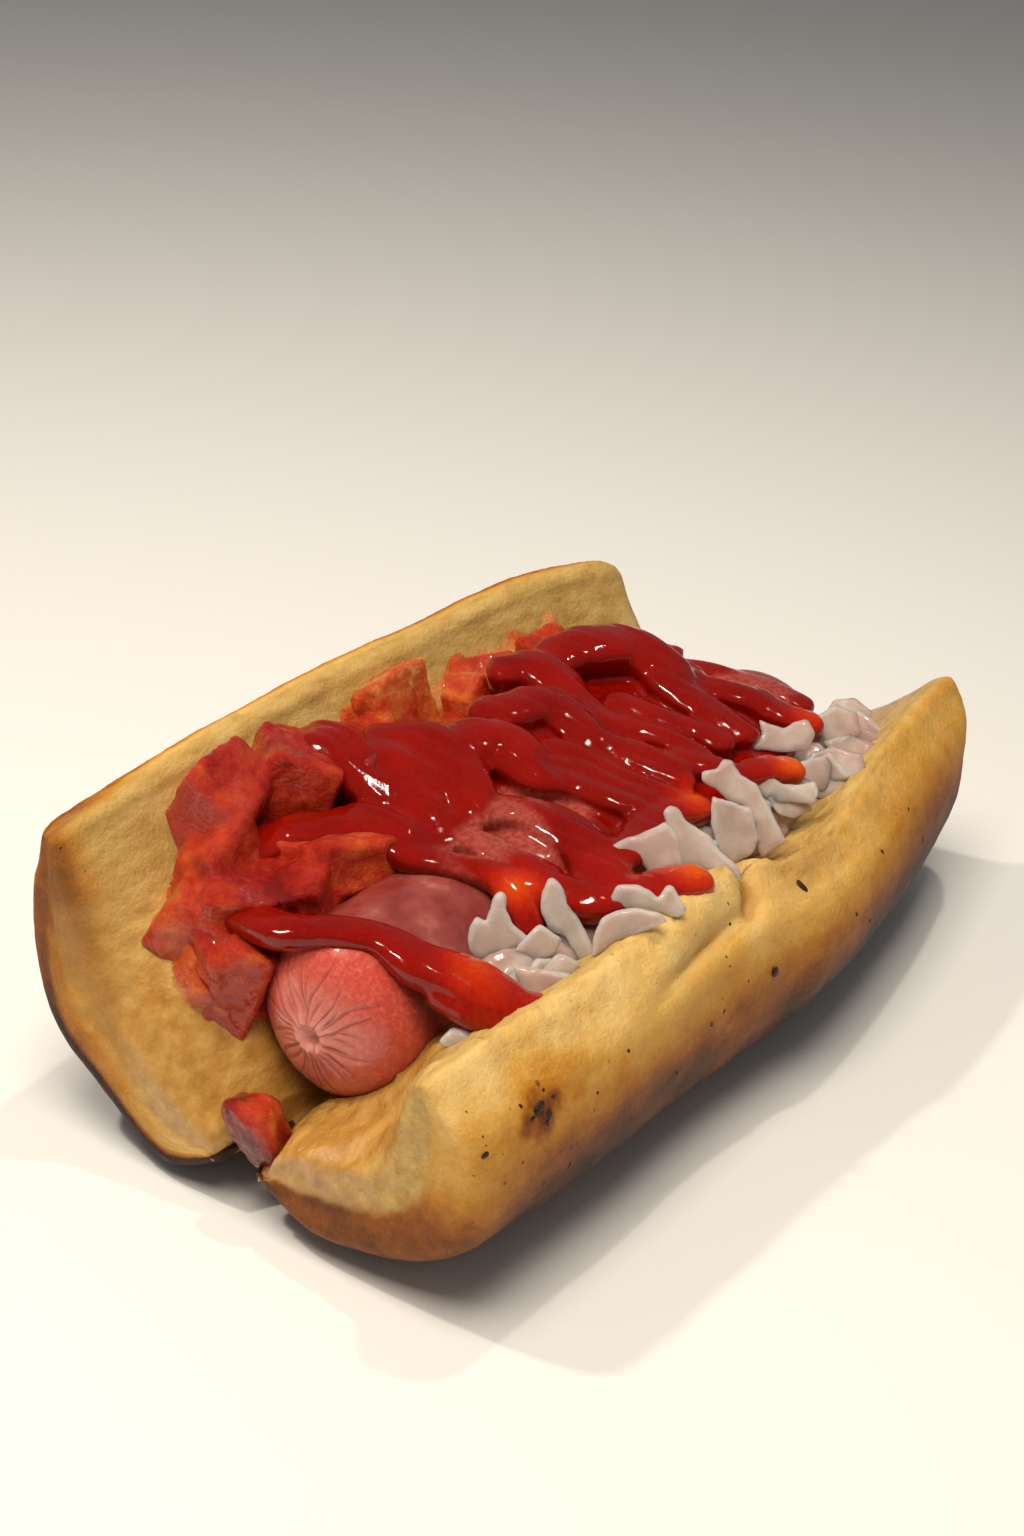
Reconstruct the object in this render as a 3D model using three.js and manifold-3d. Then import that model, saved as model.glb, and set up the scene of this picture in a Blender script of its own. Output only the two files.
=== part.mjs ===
// A hot dog: a split white bun that holds a frankfurter, diced tomato on one side, chopped onion on the
// other, and a zigzag of ketchup over the top.
// Frame: millimetres, +Z up, origin at the middle of the base. +X runs along the hot dog from its near end
// to its far end, and +Y points to the taller, back half of the bun.
import * as THREE from "three";
import Module from "manifold-3d";
import { mergeVertices } from "three/addons/utils/BufferGeometryUtils.js";

const wasm = await Module();
wasm.setup();

// Driving dimensions, in millimetres
const BUN_LENGTH = 150;
const BUN_CORNER = 5; // rounding of the two blunt ends
const TORN_END = 13; // length over which the crumb is torn back at the near end
const NOTCH_DEPTH = 12; // how far the hinge is torn back at the near end
const SAUSAGE_RADIUS = 13;
const SAUSAGE_NEAR = -58; // where the straight skin starts
const SAUSAGE_FAR = 52;
const SAUSAGE_DOME = 8; // how far each puckered end stands out
const SAUSAGE_Y = -4.6;
const SAUSAGE_Z = 28;
const SAUSAGE_BOW = 1; // how far the middle bends towards the tomato
const GAP = 0.3; // clearance between pieces that touch
const ONION_THICKNESS = 1.7;

// Seeded draw, so that each build gives the same dice and flakes.
function makeDraw(seed) {
  let state = seed;
  return (low, high) => {
    state = (state * 1664525 + 1013904223) % 4294967296;
    return low + ((high - low) * state) / 4294967296;
  };
}

const bump = (value, centre, width) => Math.exp(-(((value - centre) / width) ** 2));
const mix = (a, b, share) => a + (b - a) * share;
const smooth = (value, low, high) => THREE.MathUtils.smoothstep(value, low, high);

// Shape helpers

function toSolid(geometry) {
  const bare = new THREE.BufferGeometry();
  bare.setAttribute("position", geometry.getAttribute("position"));
  if (geometry.index) bare.setIndex(geometry.index);
  const merged = mergeVertices(bare, 1e-4);
  return new wasm.Manifold(
    new wasm.Mesh({
      numProp: 3,
      vertProperties: new Float32Array(merged.attributes.position.array),
      triVerts: new Uint32Array(merged.index.array),
    }),
  );
}

function toGeometry(solid) {
  const mesh = solid.getMesh();
  const geometry = new THREE.BufferGeometry();
  geometry.setAttribute("position", new THREE.BufferAttribute(mesh.vertProperties, 3));
  geometry.setIndex(new THREE.BufferAttribute(mesh.triVerts, 1));
  geometry.computeVertexNormals();
  return geometry;
}

function largestBody(solid) {
  return solid.decompose().reduce((best, body) => (body.volume() > best.volume() ? body : best));
}

const join = (solids) => solids.reduce((whole, next) => whole.add(next));

// A closed skin over rings of equal count, with a point at each end.
function skin(rings, firstPoint, lastPoint) {
  const count = rings[0].length;
  const vertices = [firstPoint, ...rings.flat(), lastPoint];
  const last = vertices.length - 1;
  const at = (ring, k) => 1 + ring * count + (k % count);
  const faces = [];
  for (let k = 0; k < count; k++) {
    faces.push([0, at(0, k + 1), at(0, k)]);
    faces.push([last, at(rings.length - 1, k), at(rings.length - 1, k + 1)]);
  }
  for (let ring = 0; ring + 1 < rings.length; ring++) {
    for (let k = 0; k < count; k++) {
      faces.push([at(ring, k), at(ring, k + 1), at(ring + 1, k + 1)]);
      faces.push([at(ring, k), at(ring + 1, k + 1), at(ring + 1, k)]);
    }
  }
  return meshOf(vertices, faces);
}

function meshOf(vertices, faces) {
  const geometry = new THREE.BufferGeometry();
  geometry.setAttribute("position", new THREE.Float32BufferAttribute(vertices.flatMap((v) => v.toArray()), 3));
  geometry.setIndex(faces.flat());
  return geometry;
}

// Bun: a thick strip bent into a U, from the back rim, under the hinge, to the front rim

// Cross-section at mid length, as y and z, from the back rim to the front rim.
const CRUST = [
  [41.5, 48.5],
  [43.5, 40],
  [43, 28],
  [39.5, 16],
  [31, 5],
  [16.5, -2.4],
  [1, 5.5],
  [-14.5, -2.4],
  [-31, 1.6],
  [-40.5, 11],
  [-43.8, 23],
  [-42, 31],
  [-37, 36],
];
const CRUMB = [
  [36, 48],
  [32, 42],
  [27.5, 36],
  [21, 31.5],
  [14, 27.5],
  [6, 20],
  [-0.5, 11.5],
  [-8, 18],
  [-14, 23.5],
  [-19.5, 28],
  [-24.5, 31.5],
  [-28.5, 34],
  [-31.5, 36.5],
];
const BUN_STATIONS = 13;
// Shares of the way from rim to rim where the skin has a row of corners. Two rows on each half lie on its
// flat base.
const BACK_SHARES = [0, 0.07, 0.14, 0.21, 0.28, 0.345, 0.395, 0.445, 0.475];
const SIDE_SHARES = [...BACK_SHARES, 0.5, ...BACK_SHARES.map((share) => 1 - share).reverse()];
const BUN_SIDE_STEPS = SIDE_SHARES.length - 1;
const BUN_TIP_STEPS = 4;
const NEAR_STEPS = [0, 0.7, 2, 4, 7, 10.5];
const FAR_STEPS = [4.5, 2, 0.7, 0];

// How the cross-section changes along the bun: s runs from -1 at the near end to 1 at the far end, and t
// from 0 at the back rim to 1 at the front rim.
function bunChange(t, s) {
  const back = 1 - smooth(t, 0, 0.42);
  const front = smooth(t, 0.6, 1);
  const frontSide = smooth(t, 0.55, 0.72);
  const frontBase = bump(t, 0.66, 0.1);
  const backBase = bump(t, 0.36, 0.09);
  const lobe = smooth(s, -0.62, -0.2) * (1 - smooth(s, -0.02, 0.1));
  const [nearSide, farSide] = [Math.max(0, -s), Math.max(0, s)];
  const y =
    back * (-1 - 1.6 * s * s - 1.5 * farSide ** 4) +
    front * (-2.6 * bump(s, 0.26, 0.26) + 2 * lobe) +
    frontSide * (8 * farSide ** 2 + 4.2 * nearSide ** 1.3);
  const z =
    back * (0.4 - 2.6 * nearSide ** 2 - 0.9 * smooth(s, -0.3, 0.2) - 6 * farSide ** 5) +
    front * (1.4 * lobe - 1.6 * bump(s, 0.24, 0.22) + 2 * farSide ** 2) +
    frontBase * (4 * nearSide ** 5 + 2.5 * farSide ** 4) +
    backBase * (2.6 * nearSide ** 6 + 2.5 * farSide ** 4);
  return { y, z };
}

function bunRing(x, crust, crumb, grow) {
  const s = THREE.MathUtils.clamp((2 * x) / BUN_LENGTH, -1, 1);
  const fromNear = x + BUN_LENGTH / 2;
  const fromEnd = BUN_LENGTH / 2 - Math.abs(x);
  const corner = Math.max(0, 1 - fromEnd / BUN_CORNER);
  const rounding = 1 - Math.sqrt(Math.max(0, 1 - corner * corner));
  const torn = 1 - smooth(fromNear, -2, TORN_END);
  const pointAt = (t, side) => {
    const outer = crust.getPoint(t);
    const inner = crumb.getPoint(t);
    const across = outer.clone().sub(inner);
    const thickness = across.length();
    across.divideScalar(thickness);
    const tornShare = Math.max(0.5 * bump(t, 0.36, 0.2), 0.4 * bump(t, 0.68, 0.18), 0.8 * bump(t, 0.5, 0.05));
    const tear = torn * thickness * tornShare;
    const trim = Math.min(2.6, 0.3 * thickness) * rounding;
    const start = trim + tear - grow;
    const end = thickness - trim + grow;
    const p = inner.addScaledVector(across, mix(start, end, side));
    const change = bunChange(t, s);
    return { t, y: p.x + change.y, z: p.y + change.z };
  };
  const loop = [];
  const tip = (t, sign) => {
    const [inner, outer] = [pointAt(t, 0), pointAt(t, 1)];
    const reach = 0.42 * Math.hypot(outer.y - inner.y, outer.z - inner.z) + grow;
    for (let k = 1; k < BUN_TIP_STEPS; k++) {
      const angle = (k / BUN_TIP_STEPS) * Math.PI;
      const share = t === 0 ? 0.5 - 0.5 * Math.cos(angle) : 0.5 + 0.5 * Math.cos(angle);
      const p = pointAt(t, share);
      loop.push({ t, y: p.y + sign * 0.2 * reach * Math.sin(angle), z: p.z + reach * Math.sin(angle) });
    }
  };
  for (const t of SIDE_SHARES) loop.push(pointAt(t, 1));
  tip(1, -1);
  for (const t of [...SIDE_SHARES].reverse()) loop.push(pointAt(t, 0));
  tip(0, 1);
  return loop;
}

function bunGeometry(grow = 0) {
  const curve = (rows) => new THREE.CatmullRomCurve3(rows.map(([y, z]) => new THREE.Vector3(y, z, 0)));
  const [crust, crumb] = [curve(CRUST), curve(CRUMB)];
  const half = BUN_LENGTH / 2;
  const [firstFull, lastFull] = [-half + NEAR_STEPS.at(-1), half - FAR_STEPS[0]];
  const stations = NEAR_STEPS.map((step) => -half + step);
  for (let k = 1; k < BUN_STATIONS; k++) stations.push(mix(firstFull, lastFull, k / BUN_STATIONS));
  stations.push(...FAR_STEPS.map((step) => half - step));
  const rings = stations.map((x) =>
    bunRing(x, crust, crumb, grow).map(({ t, y, z }) => {
      const notch = NOTCH_DEPTH * Math.max(0, 1 - Math.abs(t - 0.5) / 0.025) * (1 - smooth(x, -half, 0));
      const corner = 5 * (1 - smooth(t, 0, 0.35)) * smooth(x, 0, half);
      const outward = grow * Math.sign(x) * (Math.abs(x) >= half - 1 ? 1 : 0);
      return new THREE.Vector3(x + notch - corner + outward, y, Math.max(z, -grow));
    }),
  );
  return ladderCapped(rings);
}

// A skin over the rings, whose end faces are closed by quads from the crumb to the crust.
function ladderCapped(rings) {
  const count = rings[0].length;
  const faces = [];
  const add = (a, b, c) => {
    if (a !== b && b !== c && a !== c) faces.push([a, b, c]);
  };
  for (let ring = 0; ring + 1 < rings.length; ring++) {
    for (let k = 0; k < count; k++) {
      const [a, b] = [ring * count + k, ring * count + ((k + 1) % count)];
      add(a, b + count, b);
      add(a, a + count, b + count);
    }
  }
  const ladder = (base, isLast) => {
    const left = (k) => base + ((k + count) % count);
    const right = (k) => base + ((2 * BUN_SIDE_STEPS + BUN_TIP_STEPS - k + count) % count);
    for (let k = -BUN_TIP_STEPS / 2; k < BUN_SIDE_STEPS + BUN_TIP_STEPS / 2; k++) {
      const [a, b, c, d] = [left(k), left(k + 1), right(k + 1), right(k)];
      if (isLast) {
        add(a, c, b);
        add(a, d, c);
      } else {
        add(a, b, c);
        add(a, c, d);
      }
    }
  };
  ladder(0, false);
  ladder((rings.length - 1) * count, true);
  return meshOf(rings.flat(), faces);
}

// Sausage

const SAUSAGE_SIDES = 18;
const CREASES = 12;

function sausageGeometry(grow = 0) {
  const rings = [];
  const radius = SAUSAGE_RADIUS + grow;
  const ring = (x, size, crease) => {
    const s = (x - SAUSAGE_NEAR) / (SAUSAGE_FAR - SAUSAGE_NEAR);
    const bow = SAUSAGE_BOW * Math.sin(Math.PI * THREE.MathUtils.clamp(s, 0, 1));
    return Array.from({ length: SAUSAGE_SIDES }, (_, k) => {
      const angle = (k / SAUSAGE_SIDES) * 2 * Math.PI;
      const r = radius * size * (1 - crease * (0.5 + 0.5 * Math.cos(CREASES * angle)));
      const [across, upward] = [r * Math.cos(angle), r * Math.sin(angle)];
      return new THREE.Vector3(x, SAUSAGE_Y + bow + across, SAUSAGE_Z + upward);
    });
  };
  const dome = [0.16, 0.4, 0.62, 0.82, 0.95];
  const depth = (size) => (SAUSAGE_DOME + grow) * Math.sqrt(1 - size ** 2.4);
  const crease = (size) => 0.07 * (1 - size ** 3);
  for (const size of dome) rings.push(ring(SAUSAGE_NEAR - depth(size), size, crease(size)));
  for (let k = 0; k <= 8; k++) rings.push(ring(mix(SAUSAGE_NEAR, SAUSAGE_FAR, k / 8), 1, 0));
  for (const size of [...dome].reverse()) rings.push(ring(SAUSAGE_FAR + depth(size), size, crease(size)));
  const pole = (x) => new THREE.Vector3(x, SAUSAGE_Y, SAUSAGE_Z);
  const reach = SAUSAGE_DOME + grow - (grow > 0 ? 0 : 1);
  return skin(rings, pole(SAUSAGE_NEAR - reach), pole(SAUSAGE_FAR + reach));
}

// Ketchup: a zigzag squeezed from the near end to the far end

// Route of the squeezed bead, as x, y and bead radius. Every second turn lies on the tomato, the others on
// the onion.
const KETCHUP_ROUTE = [
  [-50, -30, 3],
  [-56, -24, 3.2],
  [-57, -13, 3.2],
  [-60, -4, 3.2],
  [-64, 5, 3.6],
  [-61, 16, 4],
  [-52, 21, 4.2],
  [-42, 23, 4.4],
  [-33, 14, 4.6],
  [-34, 2, 4.2],
  [-31, -13, 3.8],
  [-23, -24, 3.6],
  [-10, -32, 3.4],
  [-19, -23, 3.4],
  [-25, -11, 3.4],
  [-25, 2, 3.6],
  [-24, 13, 4],
  [-19, 25, 4.6],
  [-15, 34, 4.8],
  [-7, 28, 4.6],
  [-10, 16, 4.4],
  [-17, 4, 4],
  [-13, -6, 3.8],
  [-12, -16, 3.6],
  [6, -21, 3.4],
  [2, -14, 3.4],
  [-1, -4, 3.6],
  [-2, 6, 4],
  [3, 20, 4.6],
  [14, 24, 4.8],
  [17, 15, 4.6],
  [12, 4, 4.2],
  [13, -7, 3.8],
  [18, -17, 3.6],
  [28, -25, 3.6],
  [24, -12, 3.6],
  [22, -1, 3.8],
  [24, 10, 4.2],
  [28, 22, 4.8],
  [35, 29, 4.8],
  [46, 24, 5],
  [48, 14, 4.8],
  [39, 3, 4.2],
  [39, -7, 3.8],
  [48, -23, 3.4],
  [45, -12, 3.4],
  [50, -2, 3.6],
  [53, 8, 3.8],
];
const BEAD_SIDES = 7;
const BEAD_WIDEN = 1.22; // the beads sag into a wide, low section
const BEAD_FLATTEN = 0.8;
const BEAD_STEP = 6;
const BEAD_RUN = 4; // steps in each closed length of bead

// Height of what the ketchup lies on.
function restHeight(x, y) {
  const across = (y - SAUSAGE_Y) / (SAUSAGE_RADIUS + 0.2);
  const sausage = SAUSAGE_Z + SAUSAGE_RADIUS * Math.sqrt(Math.max(0, 1 - across * across));
  const tomato = mix(34, 40.2, smooth(y, 4, 16)) + 3.4 * smooth(y, 22, 34);
  const onion = mix(34, 37.4, smooth(-y, 10, 18));
  return Math.max(sausage, y > 0 ? tomato : onion) - 5 * smooth(x, 42, 60);
}

function ketchupBeads(grow = 0) {
  const corners = KETCHUP_ROUTE.map((row) => new THREE.Vector3(...row));
  const route = new THREE.CatmullRomCurve3(corners, false, "centripetal");
  const steps = Math.round(route.getLength() / BEAD_STEP);
  const points = route.getSpacedPoints(steps).map(({ x, y, z: radius }) => ({
    centre: new THREE.Vector3(x, y, restHeight(x, y) + 0.3 * radius),
    radius: radius + grow,
  }));
  const runs = [];
  for (let start = 0; start < points.length - 1; start += BEAD_RUN) {
    runs.push(toSolid(beadGeometry(points.slice(start, start + BEAD_RUN + 1))));
  }
  return join(runs);
}

function beadGeometry(points) {
  const up = new THREE.Vector3(0, 0, 1);
  const frameAt = (k) => {
    const ahead = points[Math.min(points.length - 1, k + 1)].centre;
    const behind = points[Math.max(0, k - 1)].centre;
    const along = ahead.clone().sub(behind).normalize();
    const across = up.clone().cross(along).normalize();
    return { along, across, above: along.clone().cross(across) };
  };
  const ring = (k, slide, size) => {
    const { along, across, above } = frameAt(k);
    const { centre, radius } = points[k];
    return Array.from({ length: BEAD_SIDES }, (_, n) => {
      const angle = ((n + 0.5) / BEAD_SIDES) * 2 * Math.PI;
      return centre
        .clone()
        .addScaledVector(along, slide * radius)
        .addScaledVector(across, BEAD_WIDEN * radius * size * Math.cos(angle))
        .addScaledVector(above, BEAD_FLATTEN * radius * size * Math.sin(angle));
    });
  };
  const last = points.length - 1;
  const rings = [ring(0, -0.62, 0.72), ...points.map((_, k) => ring(k, 0, 1)), ring(last, 0.62, 0.72)];
  const tip = (k, slide) => {
    const { centre, radius } = points[k];
    return centre.clone().addScaledVector(frameAt(k).along, slide * radius);
  };
  return skin(rings, tip(0, -0.92), tip(last, 0.92));
}

// Heap cores: a long lumpy bar that the dice or flakes are fused to

const CORE_SIDES = 10;

function heapCore({ from, to, y, z, halfWidth, halfHeight, lump, seed }) {
  const draw = makeDraw(seed);
  const steps = Math.round((to - from) / 6);
  const rings = [];
  for (let k = 0; k <= steps; k++) {
    const share = k / steps;
    const size = Math.sqrt(Math.max(0.12, 1 - Math.abs(2 * share - 1) ** 6));
    rings.push(
      Array.from({ length: CORE_SIDES }, (_, n) => {
        const angle = (n / CORE_SIDES) * 2 * Math.PI;
        const rough = 1 + draw(-lump, lump);
        return new THREE.Vector3(
          mix(from, to, share),
          y + halfWidth * size * rough * Math.cos(angle),
          z + halfHeight * size * rough * Math.sin(angle),
        );
      }),
    );
  }
  return toSolid(skin(rings, new THREE.Vector3(from - 1, y, z), new THREE.Vector3(to + 1, y, z)));
}

function placed(geometry, { x, y, z, turn = 0, tilt = 0, lean = 0 }) {
  const angles = [tilt, lean, turn].map(THREE.MathUtils.degToRad);
  const turned = new THREE.Matrix4().makeRotationFromEuler(new THREE.Euler(...angles, "ZYX"));
  return geometry.applyMatrix4(turned.setPosition(x, y, z));
}

// Tomato: knife-cut dice with uneven corners

function diceGeometry(length, width, height, draw) {
  const box = new THREE.BoxGeometry(length, width, height);
  const merged = toSolid(box).getMesh();
  const vertices = [];
  for (let k = 0; k < merged.numVert; k++) {
    const [x, y, z] = merged.vertProperties.slice(3 * k, 3 * k + 3);
    vertices.push(new THREE.Vector3(x * draw(0.7, 1.15), y * draw(0.7, 1.15), z * draw(0.75, 1.1)));
  }
  const faces = [];
  for (let k = 0; k < merged.triVerts.length; k += 3) faces.push([...merged.triVerts.slice(k, k + 3)]);
  return meshOf(vertices, faces);
}

// Dice that show, from the near end to the far end: place, size and turn.
const TOMATO_DICE = [
  { x: -65, y: 8, z: 32, size: [8, 8, 13], turn: 20, tilt: 20 },
  { x: -56, y: 13, z: 34, size: [12, 11, 10], turn: -25, tilt: 10 },
  { x: -50, y: 9, z: 38, size: [11, 8, 8], turn: 35, tilt: -15 },
  { x: -45, y: 29, z: 44, size: [16, 10, 14], turn: 15, tilt: 25 },
  { x: -39, y: 10, z: 40, size: [15, 10, 8], turn: -20, tilt: -10 },
  { x: -31, y: 29, z: 46, size: [13, 9, 14], turn: 50, tilt: 30 },
  { x: -18, y: 26, z: 41, size: [13, 11, 10], turn: 5, tilt: 12 },
  { x: -7, y: 21, z: 39, size: [12, 10, 9], turn: -35, tilt: 8 },
  { x: -3, y: 30.5, z: 45, size: [15, 6, 9], turn: 4, tilt: -24 },
  { x: 9, y: 27, z: 41, size: [10, 9, 10], turn: 20, tilt: -18 },
  { x: 19, y: 29, z: 42, size: [12, 8, 9], turn: -15, tilt: 22 },
  { x: 27, y: 24, z: 39, size: [11, 10, 9], turn: 40, tilt: 0 },
  { x: 33, y: 29, z: 42, size: [12, 8, 8], turn: 0, tilt: 15 },
  { x: 44, y: 27, z: 40, size: [10, 9, 9], turn: -20, tilt: 12 },
  { x: 52, y: 25, z: 38, size: [11, 10, 10], turn: 25, tilt: 10 },
  { x: 55, y: 12, z: 34, size: [9, 9, 8], turn: -30, tilt: -12 },
];

const TOMATO_CORE = { from: -60, to: 56, y: 19, z: 34.5, halfWidth: 13, halfHeight: 6 };

function tomatoHeap() {
  const draw = makeDraw(11);
  const core = heapCore({ ...TOMATO_CORE, lump: 0.06, seed: 5 });
  const dice = TOMATO_DICE.map((one) => toSolid(placed(diceGeometry(...one.size, draw), one)));
  return join([core, ...dice]);
}

// Onion: thin curved flakes with pointed outlines

function flakeGeometry(length, width, draw) {
  const corners = 7;
  const rim = Array.from({ length: corners }, (_, k) => {
    const angle = (k / corners) * 2 * Math.PI + draw(-0.25, 0.25);
    const reach = draw(0.68, 1.12);
    return [0.5 * length * reach * Math.cos(angle), 0.5 * width * reach * Math.sin(angle)];
  });
  const cup = (x, y, side) => side * 0.5 * ONION_THICKNESS + 0.02 * (x * x - y * y) - 0.012 * x * x;
  const vertices = [];
  for (const side of [1, -1]) {
    vertices.push(new THREE.Vector3(0, 0, cup(0, 0, side)));
    for (const [x, y] of rim) vertices.push(new THREE.Vector3(x, y, cup(x, y, side)));
  }
  const faces = [];
  for (let k = 0; k < corners; k++) {
    const next = (k + 1) % corners;
    const [a, b] = [1 + k, 1 + next];
    const [c, d] = [a + corners + 1, b + corners + 1];
    faces.push([0, a, b], [corners + 1, d, c], [a, c, d], [a, d, b]);
  }
  return meshOf(vertices, faces);
}

// Flakes that show: place, size and turn. Most stand on edge out of the heap.
const ONION_FLAKES = [
  { x: -60, y: -25, z: 33.5, size: [9, 8], turn: 20, tilt: 10, lean: 0 },
  { x: -50, y: -15, z: 37, size: [8, 7], turn: 30, tilt: -30, lean: 20 },
  { x: -40, y: -16, z: 37, size: [13, 14], turn: -10, tilt: 62, lean: 10 },
  { x: -41, y: -22, z: 36, size: [10, 11], turn: 35, tilt: 50, lean: -12 },
  { x: -34, y: -22, z: 38, size: [9, 17], turn: 25, tilt: 70, lean: 18 },
  { x: -33, y: -27, z: 35, size: [12, 8], turn: -30, tilt: 20, lean: 15 },
  { x: -25, y: -27, z: 36, size: [15, 11], turn: 12, tilt: 38, lean: -8 },
  { x: -19, y: -26, z: 38, size: [13, 9], turn: -8, tilt: 58, lean: 5 },
  { x: -10, y: -21, z: 36.5, size: [16, 11], turn: 20, tilt: 22, lean: -6 },
  { x: 0, y: -24.5, z: 37, size: [16, 10], turn: -35, tilt: 44, lean: 10 },
  { x: 10, y: -24, z: 39, size: [14, 14], turn: 10, tilt: 55, lean: -10 },
  { x: 15, y: -27, z: 37, size: [17, 8], turn: -50, tilt: 60, lean: 4 },
  { x: 26, y: -27, z: 37, size: [13, 9], turn: 25, tilt: 25, lean: 12 },
  { x: 33, y: -19, z: 40, size: [12, 10], turn: -20, tilt: 40, lean: -15 },
  { x: 39, y: -25, z: 38, size: [15, 12], turn: 5, tilt: 45, lean: 0 },
  { x: 50, y: -22, z: 37, size: [13, 11], turn: -25, tilt: 30, lean: 10 },
  { x: 59, y: -20, z: 36, size: [11, 9], turn: 30, tilt: 35, lean: -8 },
];

const ONION_CORE = { from: -50, to: 60, y: -21, z: 32.5, halfWidth: 8, halfHeight: 4.8 };

function onionHeap() {
  const draw = makeDraw(23);
  const core = heapCore({ ...ONION_CORE, lump: 0.08, seed: 9 });
  const flakes = ONION_FLAKES.map((one) => toSolid(placed(flakeGeometry(...one.size, draw), one)));
  return join([core, ...flakes]);
}

// The piece that has slipped down into the gap at the near end
const SLIPPED_DICE = { x: -71.5, y: 0, z: 13.2, size: [7, 8.5, 11], turn: 10, tilt: -20 };

// Assembly: what touches is cut back by the clearance

const sausageRoom = toSolid(sausageGeometry(GAP));
const bun = largestBody(toSolid(bunGeometry()).subtract(sausageRoom));
const bunRoom = toSolid(bunGeometry(GAP));
const ketchup = ketchupBeads().subtract(bunRoom);
const ketchupRoom = ketchupBeads(GAP);
const sausage = largestBody(toSolid(sausageGeometry()).add(ketchup));
const tomatoes = largestBody(tomatoHeap().subtract(bunRoom).subtract(sausageRoom).subtract(ketchupRoom));
const onions = largestBody(onionHeap().subtract(bunRoom).subtract(sausageRoom).subtract(ketchupRoom));
const slippedBlock = toSolid(placed(diceGeometry(...SLIPPED_DICE.size, makeDraw(31)), SLIPPED_DICE));
const slipped = largestBody(slippedBlock.subtract(bunRoom).subtract(sausageRoom));

const FINISHES = {
  bread: { color: 0xd8ab5c, roughness: 0.6, metalness: 0 },
  sausage: { color: 0xb4322a, roughness: 0.35, metalness: 0 },
  tomato: { color: 0xc53a22, roughness: 0.3, metalness: 0 },
  onion: { color: 0xd9cdc4, roughness: 0.35, metalness: 0 },
};

const hotDog = new THREE.Group();
hotDog.position.set(0.3, 1.1, 0); // puts the middle of the base at the origin
const addPiece = (name, solid, finish) => {
  const mesh = new THREE.Mesh(toGeometry(solid), new THREE.MeshStandardMaterial(FINISHES[finish]));
  mesh.name = name;
  hotDog.add(mesh);
};
addPiece("bun", bun, "bread");
addPiece("sausage_with_ketchup", sausage, "sausage");
addPiece("diced_tomato", tomatoes, "tomato");
addPiece("chopped_onion", onions, "onion");
addPiece("slipped_tomato_piece", slipped, "tomato");

export default hotDog;
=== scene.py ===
"""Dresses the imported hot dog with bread, sausage, ketchup, tomato and onion, on a pale stage.

Run as a script. Lengths in the code are millimetres unless a name says otherwise, and +X runs from the near
end to the far end, +Y to the taller half of the bun and +Z up.
"""

import math
from itertools import product

import bpy
import numpy as np
from mathutils import Matrix, Vector
from mathutils.geometry import delaunay_2d_cdt


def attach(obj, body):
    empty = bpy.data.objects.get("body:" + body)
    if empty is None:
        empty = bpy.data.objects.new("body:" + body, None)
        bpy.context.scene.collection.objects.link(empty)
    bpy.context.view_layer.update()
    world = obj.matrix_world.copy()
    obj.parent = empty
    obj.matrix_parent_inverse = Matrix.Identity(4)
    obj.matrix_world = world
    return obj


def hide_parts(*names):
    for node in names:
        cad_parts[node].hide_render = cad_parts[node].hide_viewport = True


bl_info = {
    "name": "Hot Dog",
    "version": (1, 0, 0),
    "blender": (4, 5, 0),
    "location": "View3D > Sidebar > Hot Dog",
    "description": "Builds a hot dog: split bun, frankfurter, ketchup, diced tomato and chopped onion",
    "category": "Add Mesh",
}

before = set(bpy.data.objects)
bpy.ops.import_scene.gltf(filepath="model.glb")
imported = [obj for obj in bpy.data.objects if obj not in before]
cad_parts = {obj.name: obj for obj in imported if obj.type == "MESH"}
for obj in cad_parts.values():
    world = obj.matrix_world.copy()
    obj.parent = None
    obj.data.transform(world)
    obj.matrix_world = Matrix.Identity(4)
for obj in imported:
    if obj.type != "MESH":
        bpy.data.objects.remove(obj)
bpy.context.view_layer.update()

MM = 0.001
CENTRING = np.array([0.3, 1.1, 0.0])  # puts the middle of the base at the origin


# Numbers and noise


def linear(hex_colour):
    """An sRGB colour such as "#D9A851" as linear red, green and blue."""
    parts = [int(hex_colour[k : k + 2], 16) / 255 for k in (1, 3, 5)]
    return tuple(p / 12.92 if p <= 0.04045 else ((p + 0.055) / 1.055) ** 2.4 for p in parts)


def smooth(value, low, high):
    share = np.clip((value - low) / (high - low), 0.0, 1.0)
    return share * share * (3 - 2 * share)


def bump(value, centre, width):
    return np.exp(-(((value - centre) / width) ** 2))


def mix(a, b, share):
    return a + (b - a) * share


def lattice(i, j, k, seed):
    n = (i * 374761393 + j * 668265263 + k * 1442695041 + seed * 1274126177) & 0xFFFFFFFF
    n = ((n ^ (n >> 13)) * 1274126177) & 0xFFFFFFFF
    return ((n ^ (n >> 16)) & 0xFFFFFF) / 8388607.5 - 1.0


def waves(points, size, seed, octaves=1):
    """Smooth noise from about -1 to 1 at the points, with lumps about as large as size."""
    total = np.zeros(len(points))
    strength, whole = 1.0, 0.0
    for octave in range(octaves):
        place = points / size * 2**octave + 17.3 * octave
        cell = np.floor(place).astype(np.int64)
        part = place - cell
        part = part * part * (3 - 2 * part)
        for corner in product((0, 1), repeat=3):
            weight = np.prod(np.where(corner, part, 1 - part), axis=1)
            total += strength * weight * lattice(*(cell + corner).T, seed + octave)
        whole += strength
        strength *= 0.5
    return total / whole


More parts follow.
